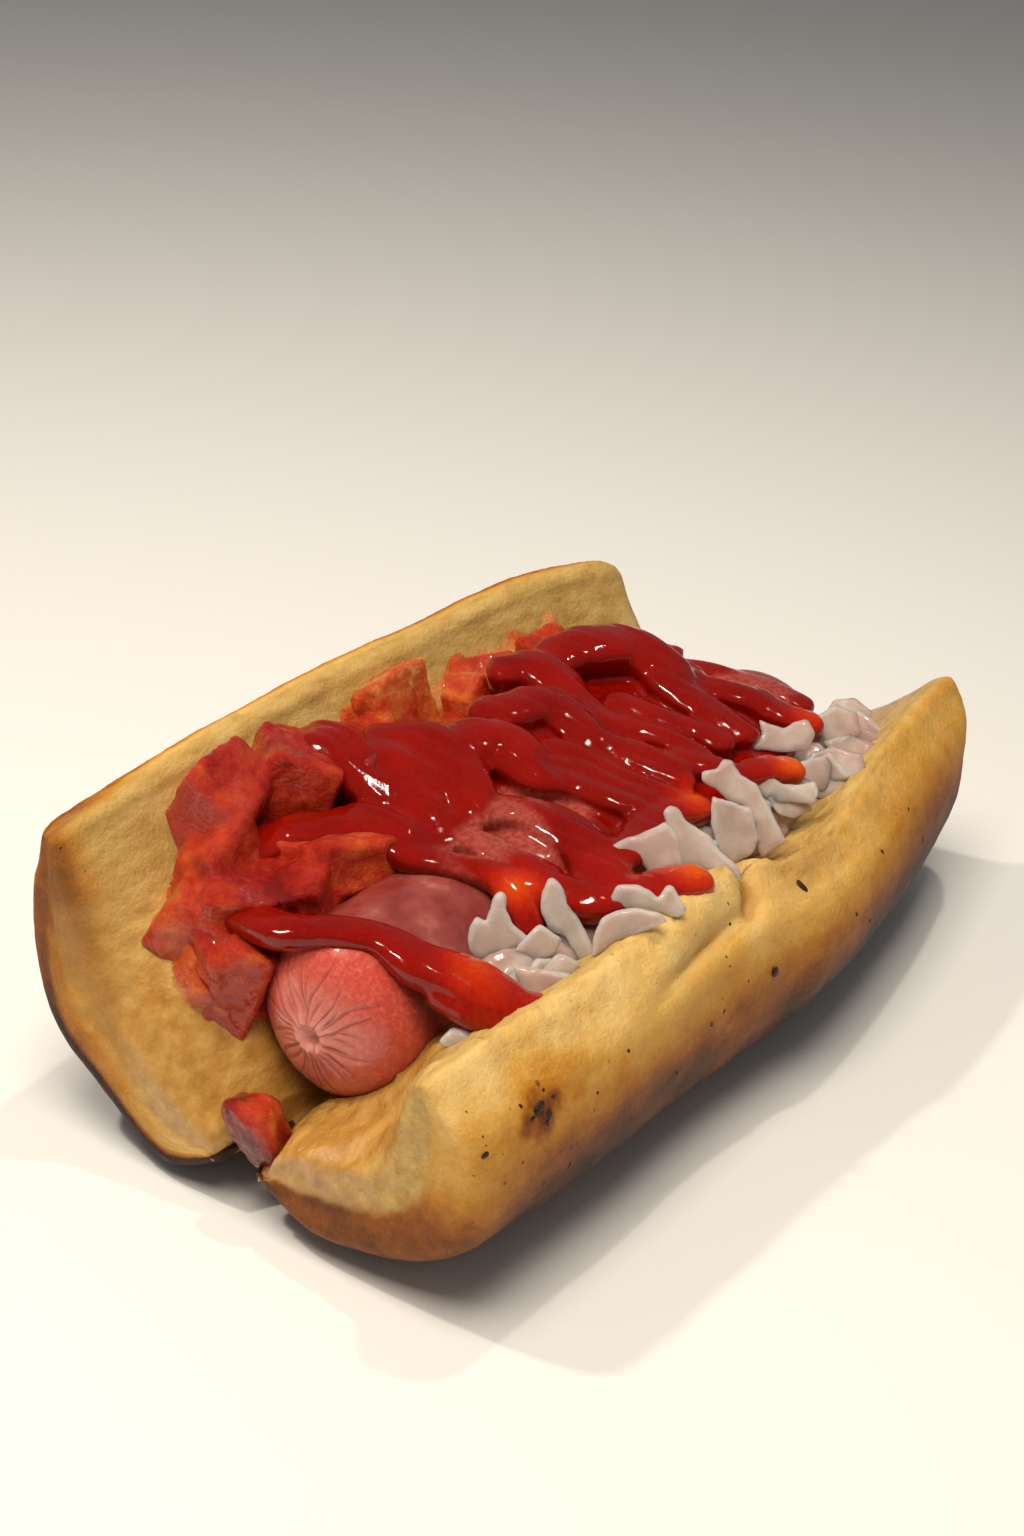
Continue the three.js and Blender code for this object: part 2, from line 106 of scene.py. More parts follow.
def through(corners, shares):
    """Points of the centripetal curve through the corners, at shares from 0 to 1 of its spans."""
    corners = np.asarray(corners, float)
    place = np.asarray(shares, float) * (len(corners) - 1)
    span = np.minimum(place.astype(int), len(corners) - 2)
    w = (place - span)[:, None]
    ends = np.vstack([2 * corners[0] - corners[1], corners, 2 * corners[-1] - corners[-2]])
    p0, p1, p2, p3 = (ends[span + k] for k in range(4))
    d0, d1, d2 = (np.sqrt(np.linalg.norm(b - a, axis=1))[:, None] for a, b in ((p0, p1), (p1, p2), (p2, p3)))
    t1 = ((p1 - p0) / d0 - (p2 - p0) / (d0 + d1) + (p2 - p1) / d1) * d1
    t2 = ((p2 - p1) / d1 - (p3 - p1) / (d1 + d2) + (p3 - p2) / d2) * d1
    return p1 + t1 * w + (3 * (p2 - p1) - 2 * t1 - t2) * w**2 + (2 * (p1 - p2) + t1 + t2) * w**3


# Meshes


def grid_faces(rows, columns, first=0, closed=True, flip=False):
    """Quads over a grid of rows and columns of points, numbered row by row from first."""
    last = columns if closed else columns - 1
    r, c = np.meshgrid(np.arange(rows - 1), np.arange(last), indexing="ij")
    a = first + r * columns + c
    b = first + r * columns + (c + 1) % columns
    faces = np.stack([a, b, b + columns, a + columns], -1).reshape(-1, 4)
    return faces[:, ::-1] if flip else faces


def point_normals(points, faces):
    corner = points[faces]
    across = np.cross(corner[:, 2] - corner[:, 0], corner[:, 3 % faces.shape[1]] - corner[:, 1])
    normals = np.zeros_like(points)
    for k in range(faces.shape[1]):
        np.add.at(normals, faces[:, k], across)
    return normals / np.maximum(np.linalg.norm(normals, axis=1), 1e-9)[:, None]


def make_piece(name, points, faces, material, slot, tones=None, replaces=()):
    """A smooth mesh piece that rides on the part. tones holds one number a point for the material."""
    mesh = bpy.data.meshes.new(name)
    faces = faces if isinstance(faces, list) else faces.tolist()
    mesh.from_pydata(((points + CENTRING) * MM).tolist(), [], faces)
    for key, values in (tones or {}).items():
        mesh.attributes.new(key, "FLOAT", "POINT").data.foreach_set("value", np.asarray(values, np.float32))
    mesh.validate()
    mesh.shade_smooth()
    mesh.materials.append(material)
    piece = bpy.data.objects.new(name, mesh)
    bpy.context.scene.collection.objects.link(piece)
    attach(piece, "root")
    if replaces:
        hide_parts(*replaces)
    return piece


def joined(parts):
    """One set of points, faces and tones from several."""
    points, faces, tones, count = [], [], {}, 0
    for part_points, part_faces, part_tones in parts:
        points.append(part_points)
        faces.append(part_faces + count)
        for key, values in part_tones.items():
            tones.setdefault(key, []).append(np.broadcast_to(values, len(part_points)))
        count += len(part_points)
    return np.vstack(points), np.vstack(faces), {key: np.concatenate(values) for key, values in tones.items()}


# Materials


def add_node(tree, kind, settings=None, links=None):
    """Adds a shader node, sets its sockets and properties, and links other sockets to its inputs."""
    node = tree.nodes.new("ShaderNode" + kind)
    for key, value in (settings or {}).items():
        if isinstance(key, int) or key in node.inputs:
            node.inputs[key].default_value = value
        else:
            setattr(node, key, value)
    for key, source in (links or {}).items():
        tree.links.new(source, node.inputs[key])
    return node


def new_material(name):
    """An empty material, its node tree and the socket that gives the place on the object in metres."""
    material = bpy.data.materials.new(name)
    material.use_nodes = True
    tree = material.node_tree
    tree.nodes.clear()
    return material, tree, add_node(tree, "TexCoord").outputs["Object"]


def mesh_tones(tree, *keys):
    """The numbers that the mesh holds for each point under these names."""
    return [add_node(tree, "Attribute", {"attribute_name": key}).outputs["Fac"] for key in keys]


def noise(tree, place, scale, detail, roughness=0.5, distortion=0.0):
    settings = {"Scale": scale, "Detail": detail, "Roughness": roughness, "Distortion": distortion}
    return add_node(tree, "TexNoise", settings, {"Vector": place}).outputs


def calc(tree, operation, *values, clamp=False):
    """A sum over numbers and sockets."""
    numbers = {k: value for k, value in enumerate(values) if isinstance(value, (int, float))}
    sockets = {k: value for k, value in enumerate(values) if k not in numbers}
    return add_node(tree, "Math", {"operation": operation, "use_clamp": clamp, **numbers}, sockets).outputs[0]


def swing(tree, base, pattern, amount, clamp=False):
    """The base moved up and down by a pattern from 0 to 1, by the amount from end to end."""
    return calc(tree, "ADD", base, calc(tree, "MULTIPLY_ADD", pattern, amount, -amount / 2), clamp=clamp)


def spread(tree, value, **limits):
    """The value mapped from one range to another, such as from_min=0.5, from_max=0.2."""
    settings = {key.replace("_", " ").title(): limit for key, limit in limits.items()}
    return add_node(tree, "MapRange", settings, {"Value": value}).outputs[0]


def ramp(tree, value, stops):
    """Colours at places from 0 to 1. A colour is a hex string, red, green and blue, or one grey number."""
    node = add_node(tree, "ValToRGB", links={"Fac": value})
    elements = node.color_ramp.elements
    while len(elements) < len(stops):
        elements.new(0.5)
    for element, (place, colour) in zip(elements, stops):
        if isinstance(colour, str):
            colour = linear(colour)
        element.position = place
        element.color = (*colour, 1) if isinstance(colour, tuple) else (colour, colour, colour, 1)
    return node.outputs["Color"]


def blend(tree, share, first, second):
    """The first colour turned into the second, which is a socket or a hex string."""
    settings, links = {"data_type": "RGBA"}, {"Factor": share, "A": first}
    if isinstance(second, str):
        settings["B"] = (*linear(second), 1)
    else:
        links["B"] = second
    return add_node(tree, "Mix", settings, links).outputs["Result"]


def relief(tree, height, strength, depth):
    node = add_node(tree, "Bump", {"Strength": strength, "Distance": depth}, {"Height": height})
    return node.outputs["Normal"]


def moist(ior, weight, radius, scale, coat_roughness):
    """Settings of a body that lets some light into it, under a film of liquid."""
    return {
        "IOR": ior,
        "Subsurface Weight": weight,
        "Subsurface Radius": radius,
        "Subsurface Scale": scale,
        "Coat Roughness": coat_roughness,
    }


def finish_material(tree, settings, links):
    shader = add_node(tree, "BsdfPrincipled", settings, links)
    add_node(tree, "OutputMaterial", links={"Surface": shader.outputs[0]})


def bread_material(bread):
    """Wheat bread, baked then steamed soft. A thin brown crust with a low sheen over an open cream crumb."""
    material, tree, place = new_material("baked_wheat_bread")
    crusty, bake_and_shade, soaked, line, speck = mesh_tones(tree, "crust", "bake_and_shade", "soaked", "line", "speck")
    # Mottling of about 7 mm and grain of about 0.6 mm, as on a bun from a soft dough.
    mottle = noise(tree, place, 140, 4, 0.6)["Fac"]
    grain = noise(tree, place, 1500, 3, 0.65)
    drawn_out = add_node(tree, "Mapping", {"Scale": (0.35, 1.0, 1.0)}, {"Vector": place}).outputs["Vector"]
    streak = noise(tree, drawn_out, 420, 5, 0.62)["Fac"]
    # The bake tone also holds painted shade, darker towards the bottom and the far end, and painted light
    # under the front rim.
    baked = swing(tree, bake_and_shade, mottle, 0.5)
    baked = swing(tree, baked, grain["Fac"], 0.22)
    baked = swing(tree, baked, streak, 0.2, clamp=True)
    pale = ((0.0, "#DEBC78"), (0.25, "#CF9E4A"), (0.48, "#B97A22"))
    crust = ramp(tree, baked, (*pale, (0.7, "#8F4E0E"), (0.88, "#5E3009"), (1.0, "#2C1505")))
    # Steam lifts the crust to a paler beige in clouds of about 12 mm.
    cloud = noise(tree, place, 80, 3, 0.55, distortion=0.6)["Fac"]
    steamed = ramp(tree, cloud, ((0.48, 0.0), (0.68, 0.3)))
    steamed = calc(tree, "MULTIPLY", steamed, spread(tree, bake_and_shade, from_min=0.5, from_max=0.2))
    crust = blend(tree, steamed, crust, "#DCBE7E")
    crumb = ramp(tree, streak, ((0.25, "#A27D3E"), (0.5, tuple(bread.crumb_colour)), (0.75, "#D2B472")))
    colour = blend(tree, crusty, crumb, crust)
    juice = ramp(tree, streak, ((0.3, "#A2702F"), (0.5, "#B8873F"), (0.72, "#CBA056")))
    colour = blend(tree, soaked, colour, juice)
    colour = blend(tree, line, colour, "#7A4C22")
    # Burnt specks, about 0.5 and 0.25 mm across, some 4 and 2 mm apart.
    wander = {"operation": "MULTIPLY_ADD", 1: (0.0008,) * 3}
    bent = add_node(tree, "VectorMath", wander, {0: grain["Color"], 2: place}).outputs[0]
    for spacing, reach in ((240, 0.12), (520, 0.15)):
        cells = add_node(tree, "TexVoronoi", {"Scale": spacing}, {"Vector": bent}).outputs
        dot = spread(tree, cells["Distance"], from_min=reach, from_max=0.6 * reach)
        draw = add_node(tree, "SeparateColor", links={"Color": cells["Color"]}).outputs["Red"]
        dot = calc(tree, "MULTIPLY", dot, spread(tree, draw, from_min=0.52, from_max=0.62))
        colour = blend(tree, calc(tree, "MULTIPLY", dot, speck), colour, "#2C180A")
    dry = spread(tree, crusty, to_min=0.55, to_max=0.6)
    fine = relief(tree, calc(tree, "MULTIPLY_ADD", streak, 0.6, grain["Fac"]), 0.5, 0.0005)
    finish_material(
        tree,
        moist(1.36, 0.18, (1.0, 0.5, 0.2), 0.002, 0.12),
        {
            "Base Color": colour,
            "Roughness": calc(tree, "SUBTRACT", dry, calc(tree, "MULTIPLY", soaked, 0.42), clamp=True),
            "Normal": fine,
            "Coat Weight": calc(tree, "MULTIPLY", soaked, 0.7),
            "Coat Normal": fine,
        },
    )
    return material


def sausage_material():
    """Scalded pork frankfurter in a thin casing. Moist and slightly see-through, with fat as pale grain."""
    material, tree, place = new_material("scalded_frankfurter_skin")
    pale, film, crease_shade = mesh_tones(tree, "pale", "film", "crease_shade")
    # Fat and meat grain of about 0.7 mm, and blotches of about 6 mm.
    grain = noise(tree, place, 1400, 4, 0.7)["Fac"]
    blotch = noise(tree, place, 170, 3, 0.55)["Fac"]
    skin = ramp(tree, grain, ((0.3, "#B63A2C"), (0.5, "#C24B3C"), (0.66, "#CC6453"), (0.85, "#DB9484")))
    light = ramp(tree, blotch, ((0.3, "#CF7466"), (0.7, "#E8B4A6")))
    # Painted shade darkens the creases of the casing, the dimple at the middle of each end and a small hole
    # on the near end.
    colour = blend(tree, crease_shade, blend(tree, pale, skin, light), "#8A2A1E")
    smeared = ramp(tree, blotch, ((0.35, "#7E2C27"), (0.6, "#95463F"), (0.78, "#AE6E66")))
    finish_material(
        tree,
        {"Roughness": 0.3, "Coat Weight": 0.6, **moist(1.42, 0.35, (1.0, 0.35, 0.2), 0.003, 0.08)},
        {"Base Color": blend(tree, film, colour, smeared), "Normal": relief(tree, grain, 0.22, 0.0003)},
    )
    return material


def ketchup_material():
    """Tomato ketchup, squeezed cold. Deep glossy red where thick, orange and see-through where thin."""
    material, tree, place = new_material("tomato_ketchup")
    thin, film = mesh_tones(tree, "thin", "film")
    # Pulp shows as a fleck of about 0.8 mm.
    pulp = noise(tree, place, 1200, 3, 0.6)["Fac"]
    depth = swing(tree, thin, pulp, 0.3, clamp=True)
    colour = ramp(tree, depth, ((0.0, "#700600"), (0.35, "#920F01"), (0.65, "#B42A03"), (1.0, "#D25C08")))
    # Smeared so thin over the sausage that its pink shows, in streaks of about 1 mm.
    pink = ramp(tree, pulp, ((0.3, "#8A2A20"), (0.7, "#A8564A")))
    colour = blend(tree, calc(tree, "MULTIPLY", film, 0.85), colour, pink)
    finish_material(
        tree,
        {"Roughness": 0.08, "Coat Weight": 0.1, **moist(1.38, 0.25, (1.0, 0.12, 0.03), 0.0025, 0.04)},
        {"Base Color": colour, "Normal": relief(tree, pulp, 0.12, 0.0003)},
    )
    return material


def tomato_material():
    """Ripe tomato, knife cut. Wet grainy flesh from red to orange, with a smooth pink-red skin side."""
    material, tree, place = new_material("cut_tomato_flesh")
    tone, skin = mesh_tones(tree, "tone", "skin")
    # Cells of about 0.6 mm over soft patches of about 4 mm.
    cells = noise(tree, place, 1700, 4, 0.72)["Fac"]
    patch = noise(tree, place, 260, 2)["Fac"]
    shade = swing(tree, swing(tree, tone, patch, 0.5), cells, 0.5, clamp=True)
    reds = ((0.0, "#780804"), (0.3, "#A61A0A"), (0.6, "#C43C16"), (0.85, "#D66828"), (1.0, "#E29656"))
    colour = blend(tree, skin, ramp(tree, shade, reds), "#B84038")
    # Juice lies over the cells and breaks the light into small glints.
    juice = noise(tree, place, 560, 1, 0.4)["Fac"]
    finish_material(
        tree,
        {"Roughness": 0.2, "Coat Weight": 0.7, **moist(1.37, 0.4, (1.0, 0.22, 0.06), 0.003, 0.04)},
        {
            "Base Color": colour,
            "Normal": relief(tree, cells, 0.9, 0.0009),
            "Coat Normal": relief(tree, juice, 0.8, 0.0009),
        },
    )
    return material


def onion_material():
    """Raw white onion, chopped. Juicy, half see-through and tinted pink by the ketchup, with a painted
    highlight along the edges.
    """
    material, tree, place = new_material("chopped_raw_onion")
    edge, tint = mesh_tones(tree, "edge", "tint")
    # Milky clouds of about 3 mm; the cells are too small to tell apart.
    cloud = noise(tree, place, 340, 3)["Fac"]
    flesh = ramp(tree, cloud, ((0.3, "#C4AFA2"), (0.5, "#CDBAAD"), (0.7, "#D8C7BA")))
    finish_material(
        tree,
        {
            "Roughness": 0.2,
            "Transmission Weight": 0.3,
            "Coat Weight": 0.4,
            **moist(1.38, 0.7, (1.0, 0.88, 0.78), 0.004, 0.05),
        },
        {
            # The paler edge colour is a painted highlight.
            "Base Color": blend(tree, tint, blend(tree, edge, flesh, "#F4ECE4"), "#B5645A"),
            "Normal": relief(tree, cloud, 0.06, 0.0003),
        },
    )
    return material


def charred_material():
    """Flour and crumbs burnt on the baking tray. Nearly black, dry and rough."""
    material, tree, place = new_material("charred_crumb")
    grit = noise(tree, place, 2500, 2)["Fac"]
    colour = ramp(tree, grit, ((0.35, "#140C07"), (0.75, "#4A2E1A")))
    finish_material(tree, {"Roughness": 0.6}, {"Base Color": colour})
    return material


def paper_material(stage):
    """Matte paper sweep, painted pale. Even and without gloss."""
    material, tree, _ = new_material("matte_paper_sweep")
    finish_material(tree, {"Base Color": (*stage.floor_colour, 1), "Roughness": 0.85}, {})
    return material


# Bun

# Cross-section at mid length, as y and z, from the back rim to the front rim.
CRUST = (
    (41.5, 48.5), (43.5, 40), (43, 28), (39.5, 16), (31, 5), (16.5, -2.4), (1, 5.5), (-14.5, -2.4),
    (-31, 1.6), (-40.5, 11), (-43.8, 23), (-42, 31), (-37, 36),
)
CRUMB = (
    (36, 48), (32, 42), (27.5, 36), (21, 31.5), (14, 27.5), (6, 20), (-0.5, 11.5), (-8, 18), (-14, 23.5),
    (-19.5, 28), (-24.5, 31.5), (-28.5, 34), (-31.5, 36.5),
)
TIP_STEPS = 14  # points around each rim
CAP_STEPS = 24  # points across each end
END_ROUNDING = 5
# The groove under the lip of the front rim, as height at places along the bun.
GROOVE_X = (-36, -28, -19, -10.6, -4)
GROOVE_Z = (32.0, 33.2, 34.2, 34.7, 35.0)
SCORCH_PLACE = (-61, -38.6, 29.4)
TOAST_PLACE = (-57, -36.5, 31.5)


def bun_change(t, s):
    """How the cross-section moves in y and z along the bun."""
    back = 1 - smooth(t, 0, 0.42)
    front = smooth(t, 0.6, 1)
    front_side = smooth(t, 0.55, 0.72)
    front_base = bump(t, 0.62, 0.11)
    back_base = bump(t, 0.36, 0.09)
    lobe = smooth(s, -0.62, -0.2) * (1 - smooth(s, -0.02, 0.1))
    near, far = max(0.0, -s), max(0.0, s)
    y = (
        back * (-1 - 1.6 * s * s - 1.5 * far**4)
        - 1.8 * bump(t, 0.25, 0.12) * near**4
        + front * (-2.6 * bump(s, 0.26, 0.26) + 2 * lobe)
        + front_side * (8 * far**2 + 4.2 * near**1.3)
    )
    z = (
        back * (0.4 - 2.6 * near**2 - 0.9 * smooth(s, -0.3, 0.2) - 4.6 * far**5)
        + front * (1.4 * lobe - 1.6 * bump(s, 0.24, 0.22) + 2 * far**2 - 2 * far**8)
        + front_base * (7 * near**5 + 3 * far**4)
        + back_base * (6.5 * near**6 + 2.5 * far**4)
    )
    return np.stack([y, z], -1)


def bun_section(x, t, side, bread):
    """y and z where the bun is cut at x, for shares t from rim to rim and side, 0 on the crumb."""
    half = bread.length / MM / 2
    s = float(np.clip(x / half, -1, 1))
    corner = max(0.0, 1 - (half - abs(x)) / END_ROUNDING)
    rounding = 1 - math.sqrt(max(0.0, 1 - corner * corner))
    torn = 1 - smooth(x + half, -2, mix(13, 22, smooth(t, 0.5, 0.6)))
    outer, inner = through(CRUST, t), through(CRUMB, t)
    across = outer - inner
    thickness = np.linalg.norm(across, axis=1)
    across /= thickness[:, None]
    back, front, hinge = 0.5 * bump(t, 0.36, 0.2), 0.46 * bump(t, 0.69, 0.19), 0.8 * bump(t, 0.5, 0.05)
    torn_share = np.maximum.reduce([back, front, hinge])
    trim = np.minimum(2.6, 0.3 * thickness) * rounding
    start = trim + torn * thickness * torn_share
    reach = mix(start, thickness - trim, side)
    return inner + across * reach[:, None] + bun_change(t, s)


def bun_ring(x, t, bread):
    """The closed outline of the bun at x, with t and side for each of its points."""
    half = bread.length / MM / 2
    crust = bun_section(x, t, np.ones_like(t), bread)
    crumb = bun_section(x, t[::-1], np.zeros_like(t), bread)
    angle = np.linspace(0, math.pi, TIP_STEPS + 1)[1:-1]
    rim = {}
    # The front rim runs on from the slope of its sides; the back rim stands up and is blunt.
    for at, side, lean, height in (
        (1.0, 1 - angle / math.pi, 0.0, 0.32),
        (0.0, 0.5 - 0.5 * np.cos(angle), 0.2, 0.42),
    ):
        inner, outer = (bun_section(x, np.array([at]), np.array([end]), bread) for end in (0.0, 1.0))
        reach = height * np.linalg.norm(outer - inner) * np.sin(angle)
        tip = bun_section(x, np.full_like(angle, at), side, bread)
        rim[at] = tip + np.stack([lean * reach, reach], -1), np.full_like(angle, at), side
    parts = ((crust, t, np.ones_like(t)), rim[1.0], (crumb, t[::-1], np.zeros_like(t)), rim[0.0])
    yz, t_all, side_all = (np.concatenate(rows) for rows in zip(*parts))
    notch = 12 * np.maximum(0, 1 - np.abs(t_all - 0.5) / 0.025) * (1 - smooth(x, -half, 0))
    back_corner = 8.4 * (1 - smooth(t_all, 0.12, 0.42)) * smooth(x, 0, half)
    front_corner = 7 * smooth(t_all, 0.84, 1) * smooth(x, half - 16, half)
    points = np.column_stack([x + notch - back_corner + front_corner, yz[:, 0], np.maximum(yz[:, 1], 0)])
    return points, t_all, side_all


def bun_form(bread):
    """Points, faces, t and side of the whole bun before its fine relief."""
    half = bread.length / MM / 2
    t = np.unique(np.concatenate([np.linspace(0, 1, 116), np.linspace(0.47, 0.53, 13)]))
    near = END_ROUNDING * (1 - np.cos(np.linspace(0, math.pi / 2, 9)))
    near = -half + np.concatenate([near, np.linspace(5.6, 17, 20)])
    far = END_ROUNDING * (1 - np.sin(np.linspace(0, math.pi / 2, 8)))
    far = half - np.concatenate([[6, 5.2], far])
    stations = np.concatenate([near, np.linspace(-half + 17.7, half - 6.7, 180), far])
    rings = [bun_ring(x, t, bread) for x in stations]
    count = len(rings[0][0])
    points = np.vstack([ring[0] for ring in rings])
    shares = np.concatenate([ring[1] for ring in rings])
    sides = np.concatenate([ring[2] for ring in rings])
    faces = [grid_faces(len(rings), count, flip=True)]
    middle_tip = TIP_STEPS // 2
    across = 2 * (len(t) - 1) + TIP_STEPS
    rungs = [(k % count, (across - k) % count) for k in range(-middle_tip, len(t) + middle_tip)]
    for base, flip in ((0, False), ((len(rings) - 1) * count, True)):
        ladder = []
        extra = [], [], []
        for left, right in rungs:
            left, right = base + left, base + right
            row = [left]
            if left != right:
                for q in np.arange(1, CAP_STEPS) / CAP_STEPS:
                    row.append(len(points) + len(extra[0]))
                    for values, more in zip((points, shares, sides), extra):
                        more.append(mix(values[left], values[right], q))
            else:
                row += [left] * (CAP_STEPS - 1)
            row.append(right)
            ladder.append(row)
        points, shares, sides = (np.concatenate(pair) for pair in zip((points, shares, sides), extra))
        ladder = np.array(ladder)
        cap = np.stack([ladder[:-1, :-1], ladder[1:, :-1], ladder[1:, 1:], ladder[:-1, 1:]], -1)
        cap = cap.reshape(-1, 4)
        faces.append(cap[:, ::-1] if flip else cap)
    return points, np.vstack(faces), shares, sides


def clear_of_sausage(points, sausage, gap):
    """The points, with those inside the sausage pushed out to its skin."""
    x, y, z = points.T
    near, far, dome = (value / MM for value in (sausage.near, sausage.far, sausage.dome))
    beyond = np.clip(np.maximum(near - x, x - far) / dome, 0, 1)
    radius = sausage.thickness / MM / 2 * (1 - beyond**2) ** (1 / DOME_POWER) + gap
    centre_y = sausage.across / MM + sausage_bow(x, sausage)
    off_y, off_z = y - centre_y, z - sausage.height / MM
    away = np.hypot(off_y, off_z)
    push = np.where((away < radius) & (beyond < 1), radius / np.maximum(away, 1e-6), 1.0)
    return np.column_stack([x, centre_y + off_y * push, sausage.height / MM + off_z * push])


def off_centre(points, centre, reach):
    """How far the points lie from the centre, as a share of the reach along each axis."""
    return np.linalg.norm((points - centre) / np.asarray(reach, float), axis=1)


def bun_relief(points, t, side, crust, front, dents):
    """How far the bun stands out or in from its plain form, in millimetres."""
    x, _, z = points.T
    hollow, channel = dents
    rim = bump(np.minimum(t, 1 - t), 0, 0.05)
    soft = 0.8 * waves(points, 24, 11) + 0.26 * waves(points, 10, 12, 2)
    wrinkle = 0.08 * waves(points * [0.3, 1, 1], 1.8, 13, 2) + 0.03 * waves(points, 0.9, 14)
    pores = -0.5 * np.maximum(0, waves(points, 1.8, 15, 2) - 0.4)
    pressed = 0.35 * waves(points * [1.6, 1, 0.6], 14, 16, 2) + 0.09 * waves(points, 2.2, 17, 3) + pores
    torn_rim = front * rim * smooth(x, -72, -64) * (1 - 0.7 * smooth(x, 20, 50)) + 0.3 * rim
    fray = torn_rim * (0.4 * waves(points, 3.4, 18, 2) + 0.24 * waves(points, 0.9, 19, 2))
    amount = crust * (soft + wrinkle) + (1 - crust) * pressed + fray
    # The lip that folds over the front rim, with the groove under it.
    lip = bump(x, -18, 11.5) * front * (side > 0.4)
    groove_z = np.interp(x, GROOVE_X, GROOVE_Z)
    lip *= -2.2 * bump(z, groove_z, 0.9) + 1.7 * bump(z, groove_z + 3.2, 2.4) + 0.4 * bump(z, groove_z - 3, 2)
    ragged = (1 - crust) * front * (1 - smooth(x, -62, -50))
    ragged *= 0.5 * waves(points, 3.2, 35, 3) + 0.5 * np.maximum(0, waves(points, 1.5, 36, 2))
    return (amount + lip - 0.9 * hollow - 2.4 * channel + ragged) * smooth(z, 0.05, 1.2)


def bun_surface(bread, sausage):
    """The bun with its pressed bed, wrinkles, torn edges and pores, and the tones for its material."""
    points, faces, t, side = bun_form(bread)
    points = clear_of_sausage(points, sausage, 0.3)
    normals = point_normals(points, faces)
    x, y, z = points.T
    from_near = x + bread.length / MM / 2
    crust = smooth(side + 0.16 * waves(points, 2.5, 3, 2), 0.36, 0.6)
    front = smooth(t, 0.5, 0.56)
    back = 1 - front
    # The wet hollow where the rim is torn away past the lip, and the channel that drains it.
    hollow = front * bump(x, 11, 12) * bump(z, 36, 3.2) * (y > -41)
    channel = front * bump(x - 1.1 * (z - 34.8), -5.5, 2.0) * smooth(z, 32.5, 35.5)
    amount = bun_relief(points, t, side, crust, front, (hollow, channel))
    points = clear_of_sausage(points + normals * amount[:, None], sausage, 0.1)
    points[:, 2] = np.maximum(points[:, 2], 0)
    # Bake: 0 is pale, 1 is dark brown. The base and the lower sides took most heat, the rims and ends least;
    # the darkening towards the bottom is partly painted shade.
    low = 1 - smooth(z + 2.5 * waves(points, 18, 20), 13, 38)
    # The 0.22 term darkens the crust towards the far end as painted shade.
    bake_and_shade = 0.14 + 0.8 * low + 0.22 * smooth(x, -8, 45) + 0.08 * waves(points, 15, 27, 2)
    # Paler just under the front rim, partly from less bake and partly as painted light where the light falls
    # on it.
    bake_and_shade -= 0.06 * front * smooth(z, 29, 36)
    bake_and_shade += 0.4 * back * bump(t, 0.0, 0.06) * smooth(side, 0.5, 0.75)
    bake_and_shade += 0.2 * back * bump(from_near, 0, 5) * smooth(side, 0.55, 0.85)
    bake_and_shade -= 0.14 * front * (1 - smooth(x, -74, -60)) * smooth(bake_and_shade, 0.3, 0.6)
    end_face = smooth(normals[:, 0] * np.sign(x), 0.45, 0.9)
    wall = through(CRUST, np.clip(t, 0, 1)) - through(CRUMB, np.clip(t, 0, 1))
    inward = (1 - side) * np.linalg.norm(wall, axis=1)
    edge_brown = back * (0.85 * bump(inward, 0, 3.2) + 0.1 * waves(points, 5, 21))
    bake_and_shade = mix(bake_and_shade, np.maximum(0.12, bake_and_shade * front - 0.12) + edge_brown, end_face * (1 - 0.6 * front))
    # Brown lines that follow the crust across the near end of the back half.
    line = back * smooth(end_face + bump(from_near, 0, 7), 0.3, 0.8) * (1 - smooth(from_near, 6, 14))
    drift = inward + 1.2 * waves(points, 9, 22)
    line *= 0.55 * bump(drift, 3.4, 0.4) + 0.3 * bump(drift, 6.2, 0.5) + 0.22 * bump(drift, 8.6, 0.6)
    crust = np.maximum(crust, end_face * smooth(side, 0.3, 0.62))
    # The outer corner of the back half at the near end is browned through to the inside.
    corner = 1 - smooth(from_near + 2 * waves(points, 6, 31, 2), 1, 9)
    corner *= 1 - smooth(t + 0.03 * waves(points, 8, 32), 0.06, 0.22)
    top = 1 - smooth(t + 0.02 * waves(points, 5, 34, 2), 0.0, 0.06)
    top *= smooth(side, 0.05, 0.4) * (1 - smooth(x + 4 * waves(points, 9, 33), -68, -48))
    edge = 0.7 * (1 - smooth(from_near + 1.2 * waves(points, 5, 37, 2), 0.5, 4))
    edge *= 1 - smooth(t, 0.34, 0.44)
    browned = back * np.maximum.reduce([corner, top, edge])
    crust = np.maximum(crust, 0.9 * browned)
    bake_and_shade = np.minimum(bake_and_shade + 0.6 * browned, 0.7 + 0.3 * low)
    # The scorched patch on the near end of the front half, with a toasted ring around it.
    scorch = off_centre(points, SCORCH_PLACE, (4.5, 3.6, 3)) + 0.9 * waves(points, 1.7, 28, 3)
    toast = off_centre(points, TOAST_PLACE, (11, 6, 4.5)) + 0.35 * waves(points, 3, 30, 2)
    bake_and_shade += front * (0.34 * (1 - smooth(scorch, 0.2, 1.3)) + 0.24 * (1 - smooth(toast, 0.4, 1.2)))
    # Crumb soaked orange brown by juice, near the filling.
    depth = y * np.where(t < 0.5, 1, -1)
    soaked = (1 - crust) * (1 - smooth(depth + 3 * waves(points, 6, 24), 19, 28))
    soaked = np.maximum(soaked, (1 - end_face) * np.maximum(0.8 * hollow, 0.9 * channel))
    speck = crust * (1 - 0.5 * end_face) * (0.25 + 0.75 * smooth(waves(points, 16, 26), -0.2, 0.35))
    tones = {"crust": crust, "bake_and_shade": bake_and_shade, "soaked": soaked, "line": line, "speck": speck}
    return points, faces, {key: np.clip(tone, 0, 1) for key, tone in tones.items()}, t, side, normals


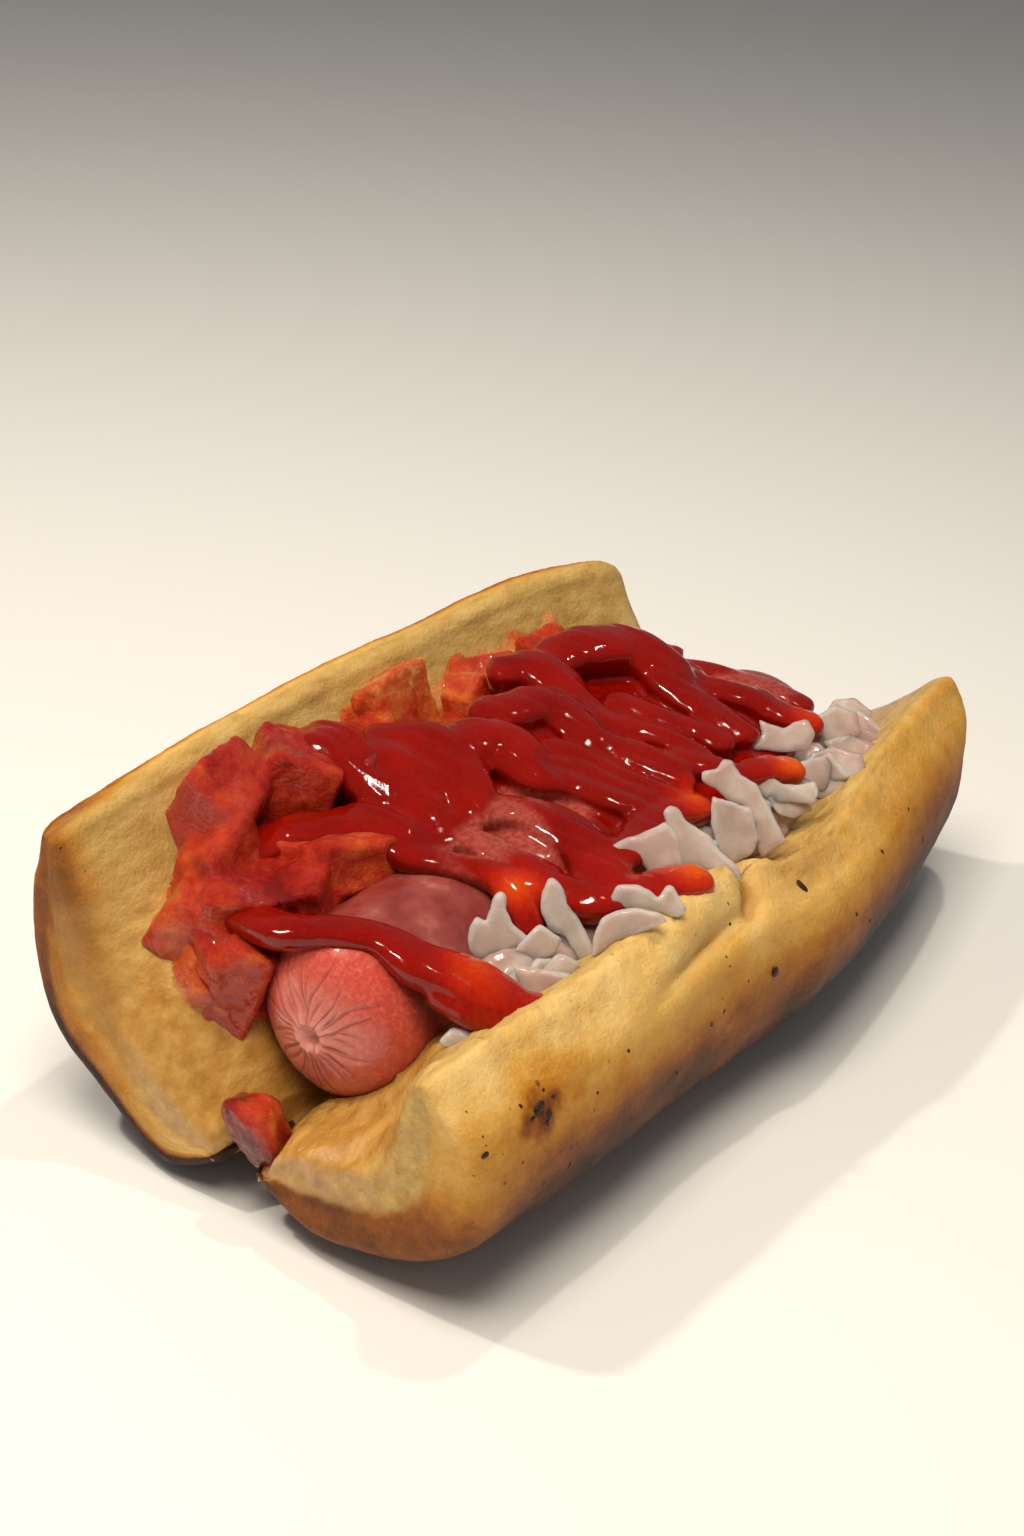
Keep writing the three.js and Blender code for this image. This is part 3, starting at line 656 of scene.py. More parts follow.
# Burnt crumbs on the crust: x, y, z, half their size around the bun and half their size along it.
CHARRED_PLACES = (
    (5.7, -39.8, 32.7, 1.4, 0.65), (-6.3, -41.3, 25.8, 0.85, 0.8), (-61.8, -37.7, 30.1, 0.7, 1.1),
    (-60.2, -38.4, 28.9, 0.6, 0.5), (-63.4, -37.9, 29.4, 0.3, 0.5), (-61, -38, 28, 0.35, 0.4),
    (-58.6, -38, 29.9, 0.3, 0.4), (-64.6, -37.4, 31.2, 0.3, 0.25), (-59.6, -37.4, 31.6, 0.25, 0.3),
    (-30.3, -40.1, 19.8, 0.4, 0.35), (-21.7, -40.4, 24, 0.35, 0.3), (15.7, -43.4, 26.5, 0.5, 0.35),
    (28.5, -41.2, 30.8, 0.45, 0.4), (41.6, -38.7, 31.7, 0.4, 0.3), (-42.8, -39.1, 29.3, 0.3, 0.35),
    (-50.1, -39.3, 27.6, 0.3, 0.3), (-72, -37.2, 28.6, 0.4, 0.5), (-55.3, -39, 18.1, 0.7, 0.3),
    (-47, -37.5, 13.5, 0.35, 0.3), (22, -42.6, 22.5, 0.3, 0.3), (46, -40, 25.5, 0.5, 0.3),
)


def charred_chips(bun_points, normals):
    """Small burnt lumps stuck to the crust."""
    latitude = np.linspace(-0.44, 0.44, 7) * math.pi
    longitude = np.linspace(0, 2 * math.pi, 11)[:-1]
    up, around = np.meshgrid(latitude, longitude, indexing="ij")
    ball = np.stack([np.cos(up) * np.cos(around), np.cos(up) * np.sin(around), np.sin(up)], -1).reshape(-1, 3)
    count = len(ball)
    columns = len(longitude)
    points, faces = [], []
    for number, (x, y, z, girth, length) in enumerate(CHARRED_PLACES):
        nearest = np.linalg.norm(bun_points - [x, y, z], axis=1).argmin()
        out = normals[nearest]
        around_bun = np.cross(out, [1, 0, 0])
        around_bun /= np.linalg.norm(around_bun)
        axes = np.array([np.cross(around_bun, out), around_bun, out])
        lump = 1 + 0.8 * waves(ball + 9 * number, 0.7, 95, 2)
        local = ball * lump[:, None] * [length, girth, 0.4 * min(girth, length)]
        first = number * count
        points.append(bun_points[nearest] + local @ axes)
        faces += grid_faces(len(latitude), columns, first).tolist()
        faces.append([first + k for k in range(columns)][::-1])
        faces.append([first + count - columns + k for k in range(columns)])
    return np.vstack(points), faces


# Sausage

SAUSAGE_AROUND = 300
END_CREASES = 32
DOME_POWER = 2.4  # 2 is a round dome, more is blunter
# Painted shade: a small hole on the near end, drawn as a dark dot.
HOLE_SHADE_PLACE = (-65.4, -7.2, 27.6)  # a dark dot on the near end


def sausage_bow(x, sausage):
    near, far = sausage.near / MM, sausage.far / MM
    share = np.clip((x - near) / (far - near), 0, 1)
    return np.sin(math.pi * share) * sausage.bow / MM


def end_creases(angle, share, radius):
    """How deep the gathers of the casing are at each end, from 0 to 1."""
    draw = np.random.default_rng(5)
    deepest = np.zeros_like(share)
    for number in range(END_CREASES):
        middle = (number + draw.uniform(-0.35, 0.35)) / END_CREASES * 2 * math.pi
        sway = draw.uniform(-0.5, 0.5) * (share - 0.5) + 0.05 * np.sin(9 * share + number)
        start, stop = draw.uniform(0.06, 0.22), draw.uniform(0.5, 1.0)
        off = np.angle(np.exp(1j * (angle - middle - sway))) * np.maximum(share, 0.05) * radius
        width = draw.uniform(0.14, 0.28)
        ends = smooth(share, start, start + 0.1) * (1 - smooth(share, stop - 0.25, stop))
        deepest = np.maximum(deepest, draw.uniform(0.35, 1.0) * bump(off, 0, width) * ends)
    return deepest


def sausage_surface(sausage):
    """The sausage with its puckered ends, and the tones for its material."""
    near, far, dome = (value / MM for value in (sausage.near, sausage.far, sausage.dome))
    radius = sausage.thickness / MM / 2
    size = np.sin(np.linspace(0.03, math.pi / 2, 46))
    depth = dome * np.sqrt(np.clip(1 - size**DOME_POWER, 0, 1))
    xs = np.concatenate([near - depth, np.linspace(near, far, 150)[1:-1], far + depth[::-1]])
    sizes = np.concatenate([size, np.ones(148), size[::-1]])
    angle = np.linspace(0, 2 * math.pi, SAUSAGE_AROUND, endpoint=False)
    x, a = np.meshgrid(xs, angle, indexing="ij")
    r = np.repeat((radius * sizes)[:, None], SAUSAGE_AROUND, 1)
    near_pole = np.repeat((sizes < 1)[:, None], SAUSAGE_AROUND, 1)
    share = np.repeat(sizes[:, None], SAUSAGE_AROUND, 1)
    crease = end_creases(a, share, radius) * near_pole
    pole = np.sign(x)
    x = x - pole * near_pole * (0.36 * crease + 1.5 * bump(share, 0, 0.1) - 0.6 * bump(share, 0.17, 0.08))
    middle_y, middle_z = sausage.across / MM, sausage.height / MM
    y = middle_y + sausage_bow(x, sausage) + r * np.cos(a)
    points = np.column_stack([x.ravel(), y.ravel(), (middle_z + r * np.sin(a)).ravel()])
    rows = len(xs)
    count = len(points)
    points = np.vstack([points, [[end, middle_y, middle_z] for end in (near - dome + 1.2, far + dome - 1.2)]])
    faces = grid_faces(rows, SAUSAGE_AROUND).tolist()
    last = (rows - 1) * SAUSAGE_AROUND
    for k in range(SAUSAGE_AROUND):
        n = (k + 1) % SAUSAGE_AROUND
        faces.append([count, n, k])
        faces.append([count + 1, last + k, last + n])
    normals = point_normals(points, grid_faces(rows, SAUSAGE_AROUND))
    normals[-2:] = [[-1, 0, 0], [1, 0, 0]]
    body = 0.3 * waves(points, 16, 32) + 0.1 * waves(points, 5, 33) + 0.05 * waves(points, 1.6, 37, 2)
    points = points + normals * body[:, None]
    share = np.concatenate([share.ravel(), [0, 0]])
    crease = np.concatenate([crease.ravel(), [0, 0]])
    top = points[:, 2] - middle_z
    pale = 0.9 * bump(share, 0.08, 0.22) + 0.25 * bump(share, 0.5, 0.2)
    film = smooth(points[:, 0] + 2 * waves(points, 6, 34), -60, -55) * smooth(top, 1, 5)
    # Painted shade in the creases and in the dimple at the middle of each end, and in the hole on the near
    # end.
    crease_shade = 0.6 * crease + 0.5 * bump(share, 0, 0.04)
    hole_shade = 0.9 * bump(off_centre(points, HOLE_SHADE_PLACE, 1), 0, 0.45)
    return points, faces, {"pale": np.clip(pale, 0, 1), "film": film, "crease_shade": np.clip(crease_shade + hole_shade, 0, 1)}


# Ketchup

# Passes of the squeezed bead, from near to far. Each point is x, y, z and bead radius.
KETCHUP_PASSES = (
    (
        (-59.5, 13, 38.6, 2.8), (-62, 4, 41, 2.4), (-59, -3, 42.2, 2.1), (-56.8, -9, 42.3, 2.1),
        (-57, -15, 41.6, 2.6), (-54.6, -20, 40.3, 3), (-52.8, -25, 38.5, 3.2), (-50.5, -28.4, 36.9, 2.7),
        (-47.5, -30, 36.2, 1.8),
    ),
    (
        (-52, 25, 39, 3), (-48, 21, 41, 3), (-44, 18, 42.8, 2.8), (-40.5, 14, 43.8, 3),
        (-36.5, 10, 44.4, 3.2), (-35.5, 6, 44.2, 2.9), (-37.5, 1, 43.2, 2.3), (-36, -3, 42.9, 2),
        (-34, -8, 42.7, 2), (-33, -12, 42.3, 2.2), (-35, -16.5, 40.6, 1.8), (-36, -19, 38.4, 1.5),
    ),
    (
        (-32.5, -11.5, 42.4, 1.8), (-30.5, -15, 42.1, 1.9), (-28.8, -19, 41.7, 2.2), (-27.5, -23, 41, 2.6),
        (-23, -26.5, 41.2, 2.4), (-17.5, -29, 41.4, 2.4), (-12.5, -31.4, 41, 2.4),
    ),
    (
        (-34, 2, 43.6, 1.6), (-29, -2.5, 43.4, 1.8), (-28, -7, 43, 1.9), (-27.8, -11, 42.6, 1.9),
        (-27.8, -16, 42, 2),
    ),
    (
        (-28.5, 3, 44, 2.4), (-22.5, 0, 44.1, 2.4), (-18.6, -3, 44, 2.5), (-17, -7, 43.6, 2.8),
        (-17.3, -12, 43.1, 3), (-19.5, -19, 42.2, 3.1), (-24, -23, 41.3, 2.8),
    ),
    (
        (-19, -19, 42.2, 2.6), (-13, -20.6, 42.2, 2.5), (-6, -18.6, 42.1, 2.4), (1, -18.4, 41.7, 2.5),
        (6.5, -20, 41.1, 2.4),
    ),
    (
        (-25, 28, 47.6, 3.6), (-27.5, 24.5, 48.4, 3.8), (-28.5, 20.5, 47.8, 3.5), (-29.2, 16.5, 46.6, 3.1),
        (-29, 12, 45.2, 2.9),
    ),
    (
        (-22.5, 23, 46.6, 3), (-22.5, 16, 47, 3.3), (-25.5, 10, 46, 3.3), (-29, 5.5, 45, 2.8),
        (-31, 1, 43.8, 2.2),
    ),
    (
        (-19.5, 22, 47.2, 2.9), (-15.3, 15.5, 48, 3.5), (-17.5, 9.5, 47, 3.5), (-21, 4.5, 45.6, 3.2),
        (-24, 0.5, 44.5, 2.7),
    ),
    (
        (-12.5, 15, 47, 3), (-10.7, 11, 48, 3.7), (-8.2, 7.3, 47.9, 3.8), (-8.8, 3, 46.7, 3.5),
        (-8.8, -1, 45.1, 2.8), (-6.3, -5.5, 44.2, 2), (-5, -11, 43.5, 1.9), (-3, -15.3, 42.8, 1.8),
    ),
    (
        (-6, 2, 45.6, 2.2), (-3.2, -1, 45, 1.7), (-1.6, -5.6, 44.3, 1.5), (-1.2, -10.5, 43.6, 1.4),
        (0.5, -15, 42.9, 1.5),
    ),
    ((-1, 3, 45.6, 2), (1.4, -2, 45, 1.6), (2, -7, 44.2, 1.4), (2.6, -12, 43.5, 1.4), (4, -17, 42.6, 1.5)),
    (
        (-1, 15, 47.4, 3), (1.5, 12, 48, 3.4), (6.5, 10, 48, 3.5), (7.5, 5.7, 46.9, 3.1), (6.5, 0, 45.5, 2.5),
        (8.8, -3.8, 44.6, 2), (10.5, -8, 44, 1.8), (12, -14, 43.1, 1.9),
    ),
    ((6, -1, 45, 2.2), (6.4, -6, 44.2, 1.6), (7.6, -11, 43.4, 1.5), (9.5, -16, 42.5, 1.6)),
    (
        (13, 22, 47.6, 2.9), (16.3, 18, 48.4, 3.3), (15.5, 13.5, 47.8, 3.1), (13, 7.7, 46.6, 2.8),
        (13, 2.8, 45.4, 2.5), (16, -2.7, 44.4, 2.2), (17.8, -8.8, 43.7, 2), (17, -13.5, 43, 2),
    ),
    ((20, 4, 45.2, 2.6), (22, -3, 44.3, 2), (24, -9, 43.5, 1.8), (24, -14, 42.8, 1.9)),
    (
        (22, 18.5, 48, 3.4), (27.5, 15.6, 49, 4.1), (34, 11, 48.2, 4.2), (34.4, 5, 46.4, 3.6),
        (31.3, -0.5, 45.2, 2.8), (30, -8.3, 44.1, 2.3), (29.5, -15, 42.8, 2.1),
    ),
    (
        (36, 9, 44.4, 2.6), (38.5, 4, 44.2, 2.8), (37.5, -1, 43.8, 2.6), (38.2, -6, 44.2, 2.4),
        (40.5, -11.5, 43.3, 2.3),
    ),
    (
        (13.5, -11.5, 43.3, 2), (15.5, -15.5, 42.9, 2.1), (18.5, -20, 42, 2.2), (24, -22, 41.4, 2.2),
        (28, -24.6, 40.8, 2.1),
    ),
    ((40, -10, 43.3, 2.2), (40.6, -15.5, 42.3, 2.3), (43, -19.7, 41.4, 2.3)),
    (
        (44, 8, 41.4, 2.8), (46, 2, 41.8, 2.6), (48, -4, 41.4, 2.4), (50, -9.5, 40.6, 2.2),
        (50.5, -14, 39.8, 2),
    ),
)
# What fills the hollows between the passes where they lie on the tomato.
KETCHUP_BEDS = (
    ((-46, 19, 38, 2.8), (-38, 8, 39.5, 3)),
    ((-30, 6, 41.2, 3.2), (-10, 3, 41.8, 3.4), (10, 2, 42, 3.4), (32, 1, 41.2, 3.4), (46, 0, 38.8, 3)),
    ((-28, 14, 42.8, 3.6), (-10, 11, 43.6, 3.8), (10, 9, 43.6, 3.8), (30, 8, 42.2, 3.6), (42, 5, 40.4, 3)),
    (
        (-31, -4, 39.6, 4), (-22, -8, 39.5, 5), (0, -8.4, 39.4, 5), (22, -8, 39.3, 5), (42, -7, 38.6, 4.4),
        (49, -5, 37.4, 3.4),
    ),
    (
        (-30, -17, 38.4, 2.4), (-22, -19, 38.6, 2.8), (4, -18, 38.8, 2.6), (24, -18, 38.6, 2.8),
        (40, -16, 38, 2.4),
    ),
    ((-57, -19.5, 38.8, 2), (-55.6, -24, 37.4, 2.2), (-53, -28, 36, 2.3), (-48.5, -31.2, 35.6, 1.8)),
)

# Where the ketchup runs out thin and orange: x, y, z.
ORANGE_TIPS = (
    (-13, -31, 41.5), (6, -19.6, 42), (27.5, -24.4, 41.6), (43, -19.5, 42), (-53.5, -21, 40.5),
    (-34, -15, 42),
)
BEAD_SIDES = 16


def ketchup_bead(rows, toppings):
    """A closed bead along the rows, wider than it is high and filled below."""
    rows = np.array(rows, float)
    span = np.linalg.norm(np.diff(rows[:, :3], axis=0), axis=1).sum()
    line = through(rows, np.linspace(0, 1, max(4, int(span / 0.8))))
    centres = line[:, :3] - [0, 0, toppings.bead_sink / MM]
    radii = line[:, 3] * (1 + 0.1 * waves(line[:, :3], 5, 41, 2))
    along = np.gradient(centres, axis=0)
    along /= np.linalg.norm(along, axis=1)[:, None]
    across = np.cross([0, 0, 1], along)
    across /= np.maximum(np.linalg.norm(across, axis=1), 1e-6)[:, None]
    above = np.cross(along, across)
    rounding = np.array([0.98, 0.86, 0.6, 0.25])
    index = np.concatenate([np.zeros(4, int), np.arange(len(centres)), np.full(4, len(centres) - 1)])
    slide = np.concatenate([-rounding, np.zeros(len(centres)), rounding[::-1]])
    size = np.sqrt(1 - slide**2)
    angle = np.linspace(0, 2 * math.pi, BEAD_SIDES, endpoint=False)
    low = np.where(np.sin(angle) < 0, toppings.bead_depth, toppings.bead_height)
    ring = toppings.bead_width * np.cos(angle)[None, :, None] * across[index][:, None, :]
    ring = ring + (low * np.sin(angle))[None, :, None] * above[index][:, None, :]
    ring = slide[:, None, None] * along[index][:, None, :] + size[:, None, None] * ring
    points = centres[index][:, None, :] + radii[index][:, None, None] * ring
    last = (len(index) - 1) * BEAD_SIDES
    caps = [list(range(BEAD_SIDES))[::-1], list(range(last, last + BEAD_SIDES))]
    return points.reshape(-1, 3), grid_faces(len(index), BEAD_SIDES).tolist() + caps


def melted(points, faces, grain, rounds):
    """Overlapping bodies made into one skin of the given grain in metres, then smoothed for some rounds."""
    mesh = bpy.data.meshes.new("loose_bodies")
    mesh.from_pydata((points * MM).tolist(), [], faces)
    loose = bpy.data.objects.new("loose_bodies", mesh)
    bpy.context.scene.collection.objects.link(loose)
    remesh = loose.modifiers.new("one_body", "REMESH")
    remesh.mode = "VOXEL"
    remesh.voxel_size = grain
    soften = loose.modifiers.new("settled", "SMOOTH")
    soften.factor = 0.5
    soften.iterations = rounds
    settled = loose.evaluated_get(bpy.context.evaluated_depsgraph_get())
    body = settled.to_mesh()
    points = np.empty(3 * len(body.vertices))
    body.vertices.foreach_get("co", points)
    points = points.reshape(-1, 3) / MM
    faces = [list(polygon.vertices) for polygon in body.polygons]
    settled.to_mesh_clear()
    bpy.data.objects.remove(loose)
    bpy.data.meshes.remove(mesh)
    return points, faces


def ketchup_surface(toppings, sausage):
    """Beads melted into one wet body, with a tone for how thin it is."""
    points, faces, count = [], [], 0
    for rows in KETCHUP_PASSES + KETCHUP_BEDS:
        bead_points, bead_faces = ketchup_bead(rows, toppings)
        points.append(bead_points)
        faces += [[count + k for k in face] for face in bead_faces]
        count += len(bead_points)
    points, faces = melted(np.vstack(points), faces, toppings.ketchup_grain, 5)
    # Fine folds that run across the sausage, as thick sauce lies down on itself.
    normals = point_normals(points, np.array(faces))
    drift = points + np.array([1.6, 0, 0]) * waves(points, 9, 46)[:, None]
    folds = waves(drift * [1, 0.16, 0.16], 1.9, 45, 2)
    upward = smooth(normals[:, 2], 0.1, 0.6) * smooth(points[:, 2], 38, 42)
    points = points + normals * (0.34 * folds * upward)[:, None]
    x, y, z = points.T
    onion_side = smooth(-y, 14, 32)
    low = 1 - smooth(z, 39.5, 43)
    tips = [bump(off_centre(points, place, 1), 0, 4.2) for place in ORANGE_TIPS]
    thin = 0.12 + 0.2 * onion_side + 0.08 * low + 0.55 * np.max(tips, axis=0) + 0.16 * waves(points, 7, 42, 2)
    # A pink film where the ketchup barely covers the sausage.
    off_axis = np.hypot(y - sausage.across / MM - sausage_bow(x, sausage), z - sausage.height / MM)
    cover = off_axis - sausage.thickness / MM / 2 - 2.3 * bump(x, -21, 10)
    film = 1 - smooth(cover + 0.3 * waves(points * [1, 0.2, 0.2], 1.6, 43), 1.1, 2.1)
    film *= smooth(z, 38, 40) * smooth(x, -40, -34)
    return points, faces, {"thin": np.clip(thin, 0, 1), "film": np.clip(film, 0, 1)}


# Tomato and onion


def turned(piece):
    """The rotation of a topping piece from its turn, tilt and lean in degrees."""
    turn, tilt, lean = (math.radians(piece.get(key, 0)) for key in ("turn", "tilt", "lean"))
    about = zip((turn, lean, tilt), "ZYX")
    first, second, third = (Matrix.Rotation(angle, 3, axis) for angle, axis in about)
    return np.array(first @ second @ third)


def dice_form(piece, draw, steps=13, rounding=0.2):
    """A knife-cut block with uneven corners and soft edges."""
    line = np.linspace(-1, 1, steps)
    u, v = (grid.ravel() for grid in np.meshgrid(line, line, indexing="ij"))
    sides, faces = [], []
    for axis in range(3):
        for sign in (-1, 1):
            side = np.empty((len(u), 3))
            side[:, axis] = sign
            side[:, (axis + 1) % 3] = u
            side[:, (axis + 2) % 3] = v
            faces.append(grid_faces(steps, steps, len(sides) * len(u), closed=False, flip=sign < 0))
            sides.append(side)
    unit = np.vstack(sides)
    core = np.clip(unit, rounding - 1, 1 - rounding)
    out = unit - core
    unit = core + rounding * out / np.maximum(np.linalg.norm(out, axis=1), 1e-9)[:, None]
    reach = draw.uniform(0.66, 1.16, (2, 2, 2, 3))
    share = (unit + 1) / 2
    stretch = np.zeros_like(unit)
    for corner in product((0, 1), repeat=3):
        weight = np.prod(np.where(corner, share, 1 - share), axis=1)
        stretch += weight[:, None] * reach[corner]
    local = unit * stretch * np.array(piece["size"]) / 2
    points = local @ turned(piece).T + [piece["x"], piece["y"], piece["z"]]
    outward = unit / np.linalg.norm(unit, axis=1)[:, None] @ turned(piece).T
    points += 0.9 * waves(points, 5, 51)[:, None] * outward
    return points, np.vstack(faces)


def cut_flesh(points, faces, pieces, base_tone):
    """Grainy relief on melted dice, and the tones for their material."""
    normals = point_normals(points, np.array(faces))
    tone, total = np.full(len(points), 1e-4 * base_tone), np.full(len(points), 1e-4)
    skin = np.zeros(len(points))
    for piece in pieces:
        turn = turned(piece)
        local = (points - [piece["x"], piece["y"], piece["z"]]) @ turn / (np.array(piece["size"]) / 2)
        reach = np.abs(local).max(axis=1)
        weight = np.exp(-6 * reach)
        tone += weight * piece["tone"]
        total += weight
        if "skin" in piece:
            axis, sign = divmod(piece["skin"], 2)
            sign = 2 * sign - 1
            facing = smooth(sign * (normals @ turn[:, axis]), 0.7, 0.86)
            skin = np.maximum(skin, facing * (reach < 1.25) * (sign * local[:, axis] > 0.4))
    grain = 0.3 * waves(points, 2.6, 55, 2) + 0.26 * waves(points, 1.2, 52, 2)
    points = points + normals * (grain * (1 - 0.9 * skin))[:, None]
    tone = tone / total + 0.2 * waves(points, 4, 53) + 0.14 * waves(points, 1.2, 54)
    return points, faces, {"tone": np.clip(tone, 0, 1), "skin": 0.9 * skin}


# Dice that show: x, y, z, size, turn and tilt in degrees, tone from red to orange and, where it has one,
# the side with the skin on, two numbers for each axis.
DICE_ROWS = (
    (-63.5, 10, 29, (9, 9, 15), 20, 20, 0.45), (-60, 14, 31, (14, 14, 14), -25, 10, 0.35),
    (-61.5, 19.5, 34, (11, 12, 15), 15, 25, 0.6), (-57.5, 15, 37, (12, 12, 9), 40, 5, 0.25),
    (-55, 22, 38.5, (13, 10, 13), 10, -15, 0.4), (-52, 9, 38, (12, 10, 9), 35, -15, 0.15),
    (-48, 29, 43.4, (16, 11, 14), 15, 25, 0.45, 0), (-42, 10, 39.6, (17, 13, 8), -20, -14, 0.62),
    (-36, 27, 43.5, (15, 12, 15), 50, 30, 0.42), (-26, 22, 42, (15, 13, 9), 15, -20, 0.3),
    (-18, 26, 41, (13, 11, 10), 5, 12, 0.3), (-7, 21, 39, (12, 10, 9), -35, 8, 0.35),
    (-4, 30, 43.5, (18, 7, 12), 4, -24, 0.85), (8, 25.5, 41, (10, 7, 10), 20, -18, 0.75),
    (19, 28, 40, (14, 8, 8), -15, 22, 0.6), (27, 24, 39, (11, 10, 9), 40, 0, 0.4),
    (31, 26, 41.5, (10, 7, 7), 0, 15, 0.55), (40, 23, 41, (6, 6, 6), -20, 12, 0.4, 5),
    (49, 15, 36, (10, 10, 9), 25, 10, 0.3), (53, 9, 34, (9, 10, 9), -30, -12, 0.4),
)
DICE_KEYS = ("x", "y", "z", "size", "turn", "tilt", "tone", "skin")
TOMATO_DICE = [dict(zip(DICE_KEYS, row)) for row in DICE_ROWS]
SLIPPED_DICE = {"x": -71.5, "y": -1, "z": 14.4, "size": (7, 8, 10.5), "turn": 10, "tilt": -28, "tone": 0.0}
AROUND_CORE = 72  # points around the core of a heap


def heap_core(start, end, y, z, half_width, half_height, seed, rough):
    """The lumpy bar under the pieces that show."""
    xs = np.linspace(start, end, 190)
    angle = np.linspace(0, 2 * math.pi, AROUND_CORE, endpoint=False)
    share = (xs - start) / (end - start)
    size = np.sqrt(np.maximum(0.03, 1 - np.abs(2 * share - 1) ** 6))
    x, a = np.meshgrid(xs, angle, indexing="ij")
    size = np.repeat(size[:, None], len(angle), 1)
    points = np.column_stack(
        [x.ravel(), (y + half_width * size * np.cos(a)).ravel(), (z + half_height * size * np.sin(a)).ravel()]
    )
    faces = grid_faces(len(xs), len(angle))
    normals = point_normals(points, faces)
    lumps = 1.5 * waves(points, 7, seed) + 0.8 * waves(points, 3, seed + 1, 2)
    lumps += 0.3 * waves(points, 1.2, seed + 2)
    return points + normals * (rough * lumps)[:, None], faces


# How far across the bun the pulp reaches, at places along it.
PULP_X = (-70, -66, -60, -55, -40, 0, 60)
PULP_REACH = (18, 21, 25.5, 29, 32, 33, 31)


def pulp_surface(bun_points, bun_faces, t, side, normals):
    """Tomato pulp and juice that clings to the crumb beside the dice, as a thin uneven layer on the bun."""
    x, y, z = bun_points.T
    reach = np.interp(x, PULP_X, PULP_REACH)
    thickness = (2.2 + 1.6 * bump(x, -62, 9)) * (y > 6)
    thickness *= smooth(reach - y + 2.6 * waves(bun_points, 4.5, 61, 2), -1.5, 3.5)
    thickness *= smooth(x + 2 * waves(bun_points, 3, 62, 2), -70, -65) * (1 - smooth(x, 40, 50))
    thickness *= smooth(z + 2.4 * waves(bun_points, 4, 65, 2), 22, 27)
    thickness = thickness * (1 + 0.6 * waves(bun_points, 2.4, 63, 3)) - 0.6
    wanted = (side < 0.3) & (t < 0.44) & (thickness > -0.5)
    keep = wanted[bun_faces].all(axis=1)
    faces = bun_faces[keep]
    used, faces = np.unique(faces, return_inverse=True)
    faces = faces.reshape(-1, 4)
    points = bun_points[used] + normals[used] * thickness[used][:, None]
    tone = 0.6 + 0.35 * waves(points, 5, 64) + 0.35 * (1 - smooth(thickness[used], 0, 0.9))
    return points, faces, {"tone": np.clip(tone, 0, 1), "skin": np.zeros(len(points))}


def rough_outline(draw, length, width):
    """The corners of a chopped flake that is mostly hidden."""
    count = int(draw.integers(5, 8))
    angles = (np.arange(count) + draw.uniform(-0.3, 0.3, count)) / count * 2 * math.pi
    reach = draw.uniform(0.6, 1.1, count)
    return np.column_stack([length / 2 * reach * np.cos(angles), width / 2 * reach * np.sin(angles)])


def flake_form(piece, outline, thick, seed):
    """A thin flake with the outline, bent as the onion's layer was, and jagged along its cut edge."""
    corners = np.asarray(outline, float)
    following = np.roll(corners, -1, axis=0)
    if np.sum(corners[:, 0] * following[:, 1] - following[:, 0] * corners[:, 1]) < 0:
        corners = corners[::-1]
    edge = []
    for a, b in zip(corners, np.roll(corners, -1, axis=0)):
        steps = max(2, int(np.linalg.norm(b - a) / 0.45))
        edge += [mix(a, b, k / steps) for k in range(steps)]
    edge = np.array(edge)
    flat = np.column_stack([edge, np.full(len(edge), 7.0 * seed)])
    edge = 0.25 * np.roll(edge, 1, axis=0) + 0.5 * edge + 0.25 * np.roll(edge, -1, axis=0)
    edge = edge + 0.14 * np.column_stack([waves(flat, 1.3, 71, 2), waves(flat, 1.3, 72, 2)])
    low, high = edge.min(axis=0), edge.max(axis=0)
    inside = np.meshgrid(*(np.arange(a, b, 0.55) for a, b in zip(low, high)))
    grid = np.stack(inside, -1).reshape(-1, 2)
    grid = grid[np.linalg.norm(grid[:, None] - edge[None], axis=2).min(axis=1) > 0.4]
    count = len(edge)
    rim = [(k, (k + 1) % count) for k in range(count)]
    loose = [Vector(p) for p in np.vstack([edge, grid])]
    flat_points, _, faces = delaunay_2d_cdt(loose, rim, [], 1, 1e-5)[:3]
    flat_points = np.array([tuple(p) for p in flat_points])
    faces = np.array([list(face) for face in faces if len(face) == 3])
    depth = np.linalg.norm(flat_points[:, None] - edge[None], axis=2).min(axis=1)
    body = 0.05 + 0.5 * thick * np.sqrt(1 - (1 - np.minimum(1, depth / 0.45)) ** 2)
    bend = 0.02 * piece.get("bend", 1) * flat_points[:, 0] ** 2 - 0.008 * flat_points[:, 1] ** 2
    layer = np.column_stack([flat_points, np.full(len(flat_points), 5.0 * seed)])
    level = bend + 0.35 * waves(layer, 3.2, 73)
    local = np.vstack([np.column_stack([flat_points, level + up * body]) for up in (1, -1)])
    half = len(flat_points)
    sides = dict.fromkeys((a, b) for face in faces for a, b in zip(face, np.roll(face, -1)))
    border = [(a, b) for a, b in sides if (b, a) not in sides]
    rows = [*faces.tolist(), *(faces[:, ::-1] + half).tolist()]
    rows += [[b, a, a + half] for a, b in border] + [[b, a + half, b + half] for a, b in border]
    points = local @ turned(piece).T + [piece["x"], piece["y"], piece["z"]]
    points += 0.05 * waves(points, 1.2, 74)[:, None]
    tint = np.clip(piece.get("tint", 0.08) + 0.3 * waves(points, 5, 75), 0, 1)
    # The edge tone marks where a painted highlight runs along the cut edge.
    return points, np.array(rows), {"edge": np.tile(1 - smooth(depth, 0.1, 0.6), 2), "tint": tint}


